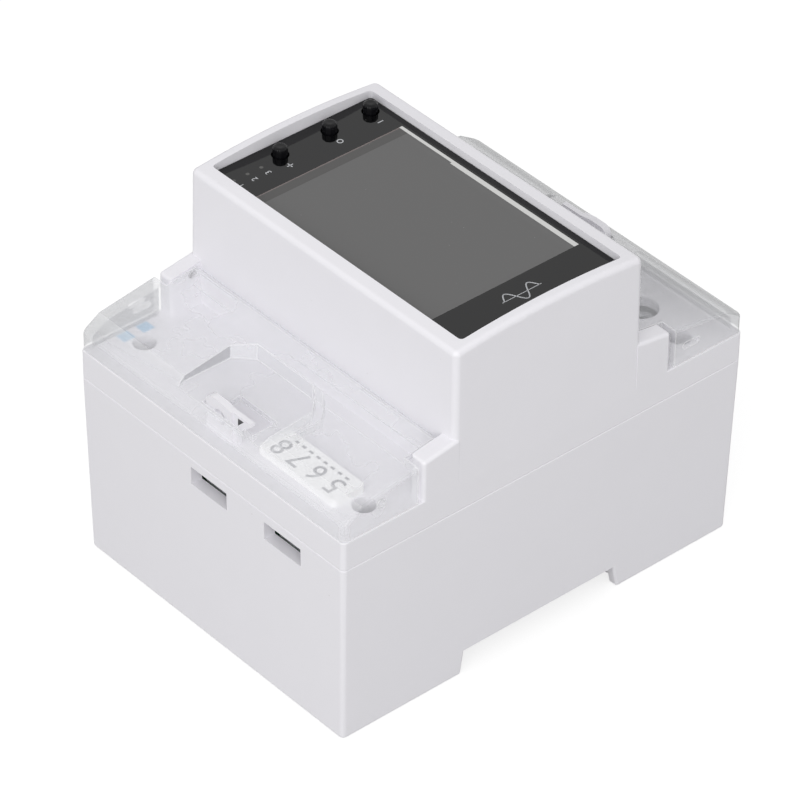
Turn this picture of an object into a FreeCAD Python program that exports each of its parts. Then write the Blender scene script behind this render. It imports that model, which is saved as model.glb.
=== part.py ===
"""Energy meter for a 35 mm rail, four modules wide, as a parametric assembly in millimetres.

X runs along the rail, Y up the wall, Z out of the wall. The origin is at the middle of the back.
"""
import FreeCAD
import Part
import Sketcher
import math
import os

# Driving dimensions, in millimetres. Each has its own cell in the sheet.
SIZES = {
    # How far joined solids run into one another, and how far a cut runs past its face
    "overlap": 0.5,
    "cut_margin": 1.0,
    # Casing
    "overall_width": 72.0,
    "overall_length": 93.6,
    "seam_height": 38.7,
    "ledge_height": 44.8,
    "crown_height": 73.9,
    "crown_radius": 191.0,
    "base_draft": 0.7,
    "base_wall": 1.8,
    "base_floor": 2.0,
    "base_corner": 1.0,
    "base_bottom_round": 0.6,
    "seam_round": 0.25,
    "ledge_thickness": 2.0,
    "upper_wall": 2.2,
    "lip_height": 2.0,
    "lip_thickness": 1.2,
    "lip_clearance": 0.15,
    "tower_foot_width": 43.7,
    "tower_draft_along": 0.25,
    "tower_draft_across": 0.47,
    "tower_corner": 1.25,
    "crown_round": 1.1,
    # Rail channel on the back
    "rail_width": 35.0,
    "rail_play": 0.6,
    "channel_depth": 5.3,
    "channel_relief": 0.3,
    "seat_width": 9.0,
    "channel_flare_upper": 0.7,
    "channel_flare_lower": 1.2,
    "channel_edge_round": 0.6,
    "deck_margin": 3.2,
    "clip_deck_margin": 5.0,
    "hook_length": 14.0,
    "hook_centre": 19.0,
    "hook_reach": 1.8,
    "hook_height": 2.6,
    "hook_thickness": 1.5,
    "hook_root": 0.9,
    # Sliding rail clip and its spring
    "clip_width": 17.4,
    "clip_thickness": 2.6,
    "clip_height": 1.7,
    "clip_play": 0.3,
    "clip_nose_reach": 1.6,
    "clip_nose_slope": 1.5,
    "clip_nose_edge": 0.8,
    "clip_relief": 0.2,
    "clip_tail_round": 0.5,
    "clip_end_inset": 0.7,
    "clip_bay_length": 6.2,
    "clip_mouth_width": 12.0,
    "pull_slot_width": 6.0,
    "pull_slot_length": 3.6,
    "pull_bar_length": 1.6,
    "spring_slot_width": 4.4,
    "spring_length": 10.0,
    "spring_start": 26.0,
    "spring_peg_length": 2.0,
    "spring_peg_width": 3.6,
    "spring_peg_gap": 0.3,
    "spring_peg_lift": 0.2,
    "spring_diameter": 2.4,
    "spring_wire": 0.36,
    "spring_end_gap": 0.1,
    # Ears beside the tower that carry the covers
    "ear_width": 3.4,
    "ear_gap": 18.0,
    "ear_rise": 9.6,
    "ear_slope": 0.15,
    "ear_round": 0.7,
    # Terminal covers
    "cover_rise": 9.4,
    "cover_slope": 0.15,
    "cover_gap": 0.2,
    "cover_wide_end": 16.8,
    "cover_side_step": 3.7,
    "cover_knee_end": 4.2,
    "cover_skirt_rise": 3.6,
    "cover_wall": 1.5,
    "cover_corner": 1.6,
    "cover_edge_round": 0.7,
    "hinge_along": 23.8,
    "hinge_radius": 1.65,
    "hinge_pin_radius": 0.9,
    "hinge_pin_length": 1.9,
    "hinge_clearance": 0.05,
    "pocket_rise": 5.0,
    "pocket_wall": 1.2,
    "pocket_left": 11.7,
    "pocket_right": 11.9,
    "pocket_length": 17.9,
    "pocket_bevel": 3.3,
    "pocket_flare": 1.6,
    "pocket_flare_length": 5.2,
    "pocket_hollow_across": 2.8,
    "pocket_hollow_along": 1.4,
    "pocket_hollow_end": 4.6,
    "pocket_inset": 2.0,
    "pocket_mouth": 1.0,
    "pocket_limit": 0.2,
    "lug_slot_left": 5.2,
    "lug_slot_right": 7.7,
    "lug_slot_length": 6.2,
    "lug_slot_gap": 2.9,
    "lug_slot_tip_gap": 3.55,
    "lug_slot_wide": 2.2,
    "lug_slot_narrow": 5.6,
    "lug_slot_back": 0.3,
    "vent_length": 3.9,
    "vent_gap": 10.9,
    "vent_rise": 3.8,
    "vent_width": 1.2,
    "vent_end_radius": 0.59,
    # Sealing lug
    "lug_gap": 4.7,
    "lug_thickness": 1.4,
    "lug_left": 4.6,
    "lug_beak": 7.0,
    "lug_rise": 7.1,
    "lug_shoulder_start": 0.4,
    "lug_shoulder_end": 2.3,
    "lug_tip_step": 0.45,
    "lug_tip_thickness": 1.0,
    "lug_hole_across": 0.9,
    "lug_hole_rise": 3.9,
    "lug_hole_radius": 1.5,
    "lug_round": 1.6,
    "lug_beak_thickness": 0.7,
    "lug_stem": 3.4,
    "lug_beak_drop": 3.9,
    # Display panel and the opening that it lies in
    "recess_side": 2.7,
    "recess_end": 3.35,
    "panel_drop": 2.3,
    "panel_thickness": 1.4,
    "panel_gap": 0.15,
    "panel_corner": 0.8,
    "shelf_thickness": 1.2,
    "shelf_left_width": 1.1,
    "shelf_right_width": 3.0,
    "shelf_long_width": 0.7,
    # Display
    "window_left_side": 10.7,
    "window_right_side": 9.0,
    "display_board_drop": 8.6,
    "board_thickness": 1.6,
    "glass_thickness": 2.6,
    "glass_drop": 4.4,
    "glass_lower": 15.6,
    "glass_upper": 17.4,
    "glass_overlap": 0.6,
    "glass_corner": 0.3,
    "light_tray_wall": 1.5,
    "light_tray_side": 1.0,
    "light_tray_drop": 1.7,
    "light_tray_floor": 1.6,
    "light_tray_play": 0.1,
    # Buttons and their switches
    "button_side": 3.5,
    "plus_along": 5.7,
    "menu_along": 5.8,
    "minus_along": 15.4,
    "button_radius": 1.45,
    "button_proud": 1.9,
    "button_hole_clearance": 0.22,
    "button_collar_radius": 2.1,
    "button_collar_thickness": 0.7,
    "button_collar_gap": 0.3,
    "button_dome": 0.35,
    "switch_side": 4.5,
    "switch_thickness": 3.6,
    "plunger_radius": 1.2,
    "plunger_proud": 0.7,
    "plunger_depth": 1.7,
    "plunger_clearance": 0.1,
    "press_room": 0.6,
    "switch_round": 0.5,
    # Lamps and their light pipes
    "lamp_side": 4.4,
    "lamp_first_along": 10.8,
    "lamp_pitch": 3.15,
    "pipe_radius": 0.6,
    "pipe_bar_lift": 3.0,
    "pipe_bar_thickness": 1.4,
    "pipe_bar_width": 1.8,
    "pipe_end_gap": 0.1,
    "pipe_foot_width": 1.4,
    "lamp_length": 1.6,
    "lamp_width": 0.8,
    "lamp_thickness": 0.7,
    # Posts and screws
    "screw_side": 6.0,
    "screw_end": 9.8,
    "screw_head_radius": 2.0,
    "screw_head_thickness": 1.8,
    "screw_head_clearance": 0.2,
    "screw_shank_radius": 1.1,
    "screw_shank_length": 14.0,
    "screw_seat_rise": 3.5,
    "thread_clearance": 0.02,
    "shank_clearance": 0.15,
    "base_boss_radius": 3.9,
    "base_boss_height": 34.0,
    "upper_boss_radius": 3.3,
    "small_screw_radius": 0.9,
    "small_screw_length": 6.0,
    "small_head_radius": 1.7,
    "small_head_thickness": 1.2,
    "post_radius": 2.7,
    "display_post_radius": 2.0,
    "display_post_side": 5.0,
    "display_post_along": 17.0,
    "display_post_offset": 0.6,
    "display_post_end": 0.8,
    "screw_slot_length": 2.8,
    "screw_slot_width": 0.6,
    "screw_slot_floor": 0.9,
    "screw_end_room": 1.0,
    # Boards
    "main_board_height": 13.0,
    "main_board_side": 3.0,
    "main_board_end": 3.4,
    "main_board_gap": 20.7,
    "main_post_side": 7.0,
    "main_post_along": 17.0,
    "signal_board_drop": 5.5,
    "signal_board_side": 10.6,
    "signal_board_length": 21.2,
    "signal_board_end": 3.6,
    "signal_post_side": 2.2,
    "signal_post_start": 7.1,
    "signal_post_end": 3.2,
    "display_board_gap": 0.3,
    "boss_notch_gap": 0.4,
    # Mains terminals
    "terminal_side": 10.4,
    "terminal_end": 9.1,
    "terminal_body_end": 2.9,
    "terminal_body_length": 13.3,
    "terminal_body_gap": 0.2,
    "terminal_bay_gap": 0.3,
    "cell_width": 9.8,
    "cell_length": 9.0,
    "cell_floor": 1.6,
    "cage_width": 9.0,
    "cage_length": 8.0,
    "cage_height": 13.4,
    "cage_wall": 1.2,
    "cage_start": 18.0,
    "cage_travel": 7.0,
    "cage_end_gap": 0.5,
    "cage_round": 0.8,
    "bar_height": 28.2,
    "bar_thickness": 1.8,
    "bar_width": 5.4,
    "bar_reach": 3.6,
    "bar_length": 19.3,
    "bar_neck_width": 3.4,
    "bar_clearance": 0.2,
    "bar_level_clearance": 0.1,
    "bar_corner": 1.0,
    "bar_leg_width": 2.0,
    "bar_leg_start": 1.6,
    "bar_leg_end": 0.4,
    "clamp_screw_radius": 2.0,
    "clamp_head_radius": 2.9,
    "clamp_head_thickness": 2.4,
    "clamp_thread_clearance": 0.03,
    "clamp_shank_gap": 0.4,
    "clamp_head_clearance": 0.2,
    "clamp_way_clearance": 0.25,
    "clamp_head_round": 0.3,
    "clamp_cross_half": 1.44,
    "clamp_slot_width": 1.0,
    "clamp_slot_depth": 1.1,
    "clamp_web": 0.9,
    "well_radius": 3.3,
    "wire_entry_radius": 4.6,
    "wire_funnel_depth": 3.0,
    # Signal sockets behind the two slots of the upper end
    "slot_width": 9.8,
    "slot_height": 3.8,
    "slot_middle_height": 34.9,
    "slot_pitch": 20.0,
    "slot_side": 16.2,
    "socket_width": 11.4,
    "socket_length": 9.4,
    "socket_height": 7.4,
    "socket_end": 4.2,
    "socket_wall": 0.8,
    "socket_depth": 7.6,
    "pin_side": 0.64,
    "pin_pitch": 2.54,
    "pin_bend": 1.2,
    "pin_tip_inset": 1.8,
    "pin_tail": 0.8,
    "pin_hole_radius": 0.512,
    # Parts on the boards
    "transformer_width": 20.0,
    "transformer_length": 17.0,
    "transformer_height": 19.0,
    "transformer_side": 17.0,
    "winding_width": 13.0,
    "winding_proud": 3.0,
    "winding_start": 4.0,
    "winding_cover": 3.0,
    "winding_round": 1.2,
    "winding_foot_start": 0.6,
    "winding_foot_end": 0.4,
    "core_gap": 1.0,
    "capacitor_radius": 5.0,
    "capacitor_height": 20.0,
    "capacitor_across": 3.0,
    "capacitor_pitch": 11.5,
    "capacitor_along": 16.0,
    "capacitor_round": 0.8,
    "varistor_radius": 5.0,
    "varistor_thickness": 4.0,
    "varistor_side": 10.0,
    "varistor_along": -24.0,
    "varistor_lift": 1.0,
    "varistor_round": 1.2,
    "varistor_leg_radius": 0.4,
    "varistor_leg_across": 3.0,
    "varistor_leg_height": 4.0,
    "fuse_width": 4.0,
    "fuse_length": 8.4,
    "fuse_height": 8.0,
    "fuse_side": 22.0,
    "fuse_along": -22.0,
    "fuse_round": 0.5,
    "battery_radius": 8.0,
    "battery_thickness": 3.2,
    "battery_side": 13.5,
    "battery_along": -8.0,
    "battery_round": 0.5,
    "meter_chip_side": 9.0,
    "control_chip_side": 10.0,
    "chip_thickness": 1.4,
    "chip_lift": 0.1,
    "lead_length": 0.8,
    "lead_pitch": 1.27,
    "lead_width": 0.4,
    "lead_thickness": 0.25,
    "meter_chip_across": 6.0,
    "meter_chip_along": -20.0,
    "control_chip_across": 4.0,
    "control_chip_along": -4.0,
    "radio_side_gap": 1.1,
    "radio_length": 18.0,
    "radio_thickness": 0.8,
    "radio_can_height": 2.4,
    "radio_gap": 0.5,
    "radio_end": 13.2,
    "radio_aerial_length": 5.0,
    "radio_can_inset": 0.8,
    "radio_can_round": 0.4,
    "header_across": 0.0,
    "header_end": 22.3,
    "header_width": 12.7,
    "header_depth": 2.5,
    "header_round": 0.3,
    # Flat cable between the main board and the display board
    "ribbon_width": 14.0,
    "ribbon_thickness": 0.3,
    "ribbon_side": 16.0,
    "ribbon_low_along": 6.0,
    "ribbon_high_along": 0.0,
    "ribbon_bend_rise": 12.4,
    "ribbon_bend_drop": 11.4,
    "ribbon_bend_radius": 8.0,
    "plug_width": 16.0,
    "plug_depth": 3.0,
    "plug_height": 2.8,
    "plug_floor": 0.6,
    # Terminal label on the upper ledge
    "label_length": 20.4,
    "label_side": 8.6,
    "label_width": 7.2,
    "label_end_gap": 5.2,
    "label_thickness": 1.6,
    "label_corner": 0.8,
}

document = FreeCAD.newDocument("energy_meter")
sheet = document.addObject("Spreadsheet::Sheet", "sizes")


class Size:
    """A length that carries its number and the sheet formula that gives the same number."""

    def __init__(self, number, formula):
        self.number = number
        self.formula = formula

    def _joined(self, other, sign, number):
        return Size(number, "(" + self.formula + " " + sign + " " + sized(other).formula + ")")

    def __add__(self, other):
        return self._joined(other, "+", self.number + sized(other).number)

    def __sub__(self, other):
        return self._joined(other, "-", self.number - sized(other).number)

    def __mul__(self, other):
        return self._joined(other, "*", self.number * sized(other).number)

    def __truediv__(self, other):
        return self._joined(other, "/", self.number / sized(other).number)

    def __radd__(self, other):
        return sized(other) + self

    def __rsub__(self, other):
        return sized(other) - self

    def __rmul__(self, other):
        return sized(other) * self

    def __neg__(self):
        return sized(0) - self

    def __float__(self):
        return float(self.number)


def sized(value):
    """Give a plain number the same form as a size from the sheet."""
    return value if isinstance(value, Size) else Size(value, repr(float(value)))


def read_sizes():
    """Fill the sheet and give each size by its name."""
    found = {}
    for row, (name, number) in enumerate(SIZES.items(), start=1):
        sheet.set(f"A{row}", name)
        sheet.set(f"B{row}", str(number))
        sheet.setAlias(f"B{row}", name)
        found[name] = Size(number, f"{sheet.Name}.{name}")
    document.recompute()
    return found


class Sheet:
    """Every size of the sheet as an attribute."""

    def __init__(self):
        self.__dict__.update(read_sizes())


S = Sheet()
PIECES = []

# Sizes that follow from the driving ones.
half_width = S.overall_width / 2
half_length = S.overall_length / 2
base_half_width = half_width - S.base_draft
base_half_length = half_length - S.base_draft
base_inner_half_width = base_half_width - S.base_wall
base_inner_half_length = base_half_length - S.base_wall
channel_half = S.rail_width / 2 + S.rail_play / 2
deck_height = S.channel_depth + S.base_floor
tower_half = S.tower_foot_width / 2
tower_inner_half_width = half_width - S.tower_draft_across - S.upper_wall
tower_inner_half_length = tower_half - S.tower_draft_along - S.upper_wall
recess_half_width = half_width - S.recess_side
recess_half_length = tower_half - S.recess_end
main_board_top = S.main_board_height + S.board_thickness
terminal_body_top = S.ledge_height - S.ledge_thickness - S.terminal_body_gap
button_places = {"plus": S.plus_along, "menu": -S.menu_along, "minus": -S.minus_along}
cage_top = S.cage_start + S.cage_height
cell_top = cage_top + S.cage_travel + S.cage_end_gap
clamp_seat = cell_top + S.clamp_web
clip_slot_top = S.clip_height + S.clip_thickness + S.clip_play
spring_peg_start = S.spring_start + S.spring_length
wire_height = S.cage_start + S.cage_wall + (S.bar_height - S.cage_start - S.cage_wall) / 2
screw_across = half_width - S.screw_side
screw_along = half_length - S.screw_end
display_post_across = half_width - S.display_post_side
main_post_across = half_width - S.main_post_side
button_across = recess_half_width - S.button_side
lamp_across = recess_half_width - S.lamp_side
window_left = recess_half_width - S.window_left_side
window_right = recess_half_width - S.window_right_side
terminal_pitch = (half_width - S.terminal_side) / 2
terminal_along = half_length - S.terminal_end
terminal_body_front = half_length - S.terminal_body_end
terminal_body_back = terminal_body_front - S.terminal_body_length
bar_inner_end = terminal_body_front - S.bar_length
main_board_lower = half_length - S.main_board_end
main_board_upper = half_length - S.main_board_gap
signal_board_upper = half_length - S.signal_board_end
signal_board_lower = signal_board_upper - S.signal_board_length
signal_post_upper = signal_board_upper - S.signal_post_end
signal_post_lower = signal_board_lower + S.signal_post_start
signal_board_height = S.slot_middle_height - S.signal_board_drop
socket_face = half_length - S.socket_end
slot_second_across = -(half_width - S.slot_side)
slot_first_across = slot_second_across + S.slot_pitch
radio_along = half_length - S.radio_end
header_along = half_length - S.header_end
transformer_across = -(half_width - S.transformer_side)
varistor_across = -(half_width - S.varistor_side)
fuse_across = -(half_width - S.fuse_side)
battery_across = half_width - S.battery_side
ribbon_across = half_width - S.ribbon_side
ribbon_bend_low = main_board_top + S.ribbon_bend_rise
panel_height = S.crown_height - S.panel_drop
display_board_top = panel_height - S.display_board_drop
glass_seat_height = panel_height - S.glass_drop
light_tray_rim = panel_height - S.light_tray_drop
pipe_bar_height = display_board_top + S.pipe_bar_lift
label_right = half_width - S.label_side
label_left = label_right - S.label_length
label_end = half_length - S.label_end_gap
label_start = label_end - S.label_width
cover_knee_along = half_length - S.cover_knee_end
cover_wide_start = half_length - S.cover_wide_end
cover_skirt_height = S.ledge_height + S.cover_skirt_rise
cover_height = S.ledge_height + S.cover_rise
ear_height = S.ledge_height + S.ear_rise
ear_end = half_length - S.ear_gap
pocket_floor = S.ledge_height + S.pocket_rise
pocket_start = half_length - S.pocket_length
lug_slot_end = half_length - S.lug_slot_gap
lug_slot_start = lug_slot_end - S.lug_slot_length
lug_slot_tip_end = half_length - S.lug_slot_tip_gap
vent_end = half_length - S.vent_gap
vent_start = vent_end - S.vent_length
vent_height = S.ledge_height + S.vent_rise
lug_along = half_length - S.lug_gap
lug_height = S.ledge_height + S.lug_rise
lug_tip_height = lug_height - S.lug_tip_step
lug_hole_height = S.ledge_height + S.lug_hole_rise
screw_seat_height = S.base_boss_height + S.screw_seat_rise
cover_half_narrow = half_width - S.cover_side_step
signal_board_half = half_width - S.signal_board_side
signal_post_across = signal_board_half - S.signal_post_side
radio_start = slot_first_across + S.socket_width / 2 + S.radio_gap
radio_end = signal_post_across - S.small_head_radius - S.radio_side_gap
radio_width = radio_end - radio_start
radio_across = radio_start + radio_width / 2
panel_seat = panel_height - S.panel_thickness
signal_board_top = signal_board_height + S.board_thickness
display_board_bottom = display_board_top - S.board_thickness
terminal_places = [terminal_pitch * step for step in (-1.5, -0.5, 0.5, 1.5)]
switch_top = display_board_top + S.switch_thickness
plunger_top = switch_top + S.plunger_proud
display_posts = [(-display_post_across, S.display_post_along),
                 (-display_post_across, -S.display_post_along),
                 (display_post_across + S.display_post_offset, sized(0))]
ribbon_bend_high = display_board_bottom - S.ribbon_bend_drop

# Two lengths closer than this are the same, in the tests that pick edges.
TOLERANCE = 0.05


def bind(item, path, value):
    """Bind one property of an object to the sheet."""
    value = sized(value)
    item.setExpression(path, value.formula)


def place(item, x, y, z):
    """Bind the position of an object to the sheet."""
    for axis, value in (("x", x), ("y", y), ("z", z)):
        bind(item, f"Placement.Base.{axis}", value)


def block(name, x, y, z):
    """A box between the two ends given for each axis."""
    item = document.addObject("Part::Box", name)
    for side, (low, high) in (("Length", x), ("Width", y), ("Height", z)):
        bind(item, side, sized(high) - low)
    place(item, x[0], y[0], z[0])
    return item


AXES = {
    "x": FreeCAD.Vector(1, 0, 0),
    "y": FreeCAD.Vector(0, 1, 0),
    "z": FreeCAD.Vector(0, 0, 1),
}
AXIS_TURNS = {
    "x": FreeCAD.Rotation(FreeCAD.Vector(0, 1, 0), 90),
    "y": FreeCAD.Rotation(FreeCAD.Vector(1, 0, 0), -90),
    "z": FreeCAD.Rotation(),
}


def rod(name, axis, radius, start, length):
    """A cylinder from its start point along one axis."""
    item = document.addObject("Part::Cylinder", name)
    item.Placement = FreeCAD.Placement(FreeCAD.Vector(), AXIS_TURNS[axis])
    bind(item, "Radius", radius)
    bind(item, "Height", length)
    place(item, *start)
    return item


def fuse(name, *items):
    """One solid made of several that meet."""
    joined = document.addObject("Part::MultiFuse", name)
    joined.Shapes = list(items)
    joined.Refine = True
    return joined


def cut(name, base, *tools):
    """The base less all the tools."""
    tool = tools[0] if len(tools) == 1 else fuse(name + "_tools", *tools)
    rest = document.addObject("Part::Cut", name)
    rest.Base = base
    rest.Tool = tool
    return rest


def common(name, first, second):
    """What two solids share."""
    shared = document.addObject("Part::Common", name)
    shared.Base = first
    shared.Tool = second
    return shared


def group(name, *items):
    """Separate solids that share one node."""
    kept = document.addObject("Part::Compound", name)
    kept.Links = list(items)
    return kept


def rounded(name, base, *rounds):
    """Round edges: each round is a radius and a test that picks edges by middle and direction."""
    document.recompute()
    item = document.addObject("Part::Fillet", name)
    item.Base = base
    edges = []
    for radius, wanted in rounds:
        for number, edge in enumerate(base.Shape.Edges, start=1):
            middle = edge.CenterOfMass
            first, last = edge.Vertexes[0].Point, edge.Vertexes[-1].Point
            if wanted(middle, last - first):
                edges.append((number, float(radius), float(radius)))
    item.Edges = edges
    return item


def runs_along(axis, direction):
    """True where an edge lies mostly along the axis."""
    parts = {"x": direction.x, "y": direction.y, "z": direction.z}
    return abs(parts[axis]) > 0.9 * direction.Length > 0


def near(value, target):
    """True where two lengths are the same."""
    return abs(value - float(target)) < TOLERANCE


def closed_edge(middle, direction):
    """True where an edge ends where it starts, like the rim of a cylinder."""
    return direction.Length < TOLERANCE


PLANES = {
    "XY": FreeCAD.Rotation(),
    "XZ": FreeCAD.Rotation(FreeCAD.Vector(1, 0, 0), 90),
    "YZ": FreeCAD.Rotation(FreeCAD.Vector(1, 1, 1), 120),
}


def fix_point(sketch, geometry, end, point):
    """Bind a point of a sketch to the sheet by its two distances from the origin."""
    for kind, value in zip(("DistanceX", "DistanceY"), point):
        value = sized(value)
        number = sketch.addConstraint(Sketcher.Constraint(kind, -1, 1, geometry, end, value.number))
        sketch.setExpression(f"Constraints[{number}]", value.formula)


def add_outline(sketch, points):
    """Add a closed outline of straight lines through the points."""
    first = sketch.GeometryCount
    corners = [FreeCAD.Vector(float(across), float(up), 0) for across, up in points]
    count = len(corners)
    for index, corner in enumerate(corners):
        sketch.addGeometry(Part.LineSegment(corner, corners[(index + 1) % count]))
    for index in range(count):
        following = first + (index + 1) % count
        sketch.addConstraint(Sketcher.Constraint("Coincident", first + index, 2, following, 1))
    for index, point in enumerate(points):
        fix_point(sketch, first + index, 1, point)


def add_circle(sketch, centre, radius):
    """Add a circle to a sketch."""
    middle = FreeCAD.Vector(float(centre[0]), float(centre[1]), 0)
    number = sketch.addGeometry(Part.Circle(middle, FreeCAD.Vector(0, 0, 1), float(radius)))
    fix_point(sketch, number, 3, centre)
    rule = sketch.addConstraint(Sketcher.Constraint("Radius", number, float(radius)))
    sketch.setExpression(f"Constraints[{rule}]", sized(radius).formula)


def rectangle(across, up):
    """The four corners of a rectangle between the two ends of each side."""
    return [(across[0], up[0]), (across[1], up[0]), (across[1], up[1]), (across[0], up[1])]


def mirrored_span(half):
    """The two ends of a span that is centred on zero."""
    return (-sized(half), sized(half))


def prism(name, plane, points, start, end, holes=()):
    """A solid of constant section, from a sketch on a plane that stands off the origin by start."""
    sketch = document.addObject("Sketcher::SketchObject", name + "_sketch")
    sketch.Placement = FreeCAD.Placement(FreeCAD.Vector(), PLANES[plane])
    add_outline(sketch, points)
    for centre, radius in holes:
        add_circle(sketch, centre, radius)
    axis = {"XY": "z", "XZ": "y", "YZ": "x"}[plane]
    bind(sketch, f"Placement.Base.{axis}", start)
    solid = document.addObject("Part::Extrusion", name)
    solid.Base = sketch
    solid.DirMode = "Custom"
    solid.Dir = AXES[axis]
    solid.Solid = True
    bind(solid, "LengthFwd", sized(end) - start)
    return solid


class Body:
    """A part built feature by feature from sketches."""

    def __init__(self, name):
        self.name = name
        self.item = document.addObject("PartDesign::Body", name)
        self.count = 0

    def _feature(self, kind):
        self.count += 1
        return self.item.newObject(kind, f"{self.name}_{self.count}")

    def sketch(self, plane, level, outlines=(), circles=()):
        """A sketch parallel to a plane of the body, at a level along the plane's normal."""
        sketch = self._feature("Sketcher::SketchObject")
        role = plane + "_Plane"
        flat = [item for item in self.item.Origin.OriginFeatures if item.Role == role][0]
        sketch.AttachmentSupport = (flat, [""])
        sketch.MapMode = "FlatFace"
        bind(sketch, "AttachmentOffset.Base.z", level)
        for points in outlines:
            add_outline(sketch, points)
        for centre, radius in circles:
            add_circle(sketch, centre, radius)
        sketch.Visibility = False
        return sketch

    def pad(self, sketch, length, spread=None):
        """Add material along the normal of the sketch, wider by spread on each side at its end."""
        feature = self._feature("PartDesign::Pad")
        feature.Profile = sketch
        bind(feature, "Length", length)
        if spread is not None:
            feature.setExpression("TaperAngle", f"atan({(spread / length).formula})")
        return feature

    def pocket(self, sketch, length):
        """Remove material from the sketch along its plane's normal, and prove that it did."""
        document.recompute()
        before = self.item.Shape.Volume
        feature = self._feature("PartDesign::Pocket")
        feature.Profile = sketch
        feature.Reversed = True
        bind(feature, "Length", length)
        document.recompute()
        if not self.item.Shape.Volume < before:
            raise ValueError(f"a pocket of {self.name} removes nothing")
        return feature

    def round(self, radius, wanted):
        """Round the edges that the test picks."""
        document.recompute()
        base = self.item.Tip
        names = []
        for number, edge in enumerate(base.Shape.Edges, start=1):
            direction = edge.Vertexes[-1].Point - edge.Vertexes[0].Point
            if wanted(edge.CenterOfMass, direction):
                names.append(f"Edge{number}")
        feature = self._feature("PartDesign::Fillet")
        feature.Base = (base, names)
        bind(feature, "Radius", radius)
        document.recompute()
        return feature


def keep(name, item):
    """Name a finished piece after its node and put it on the list that is written out."""
    item.Label = name
    PIECES.append((name, item))
    return item


def four_corners(across, along):
    """The four places that mirror one another about the middle."""
    across, along = sized(across), sized(along)
    return [(across, along), (-across, along), (across, -along), (-across, -along)]


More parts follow.
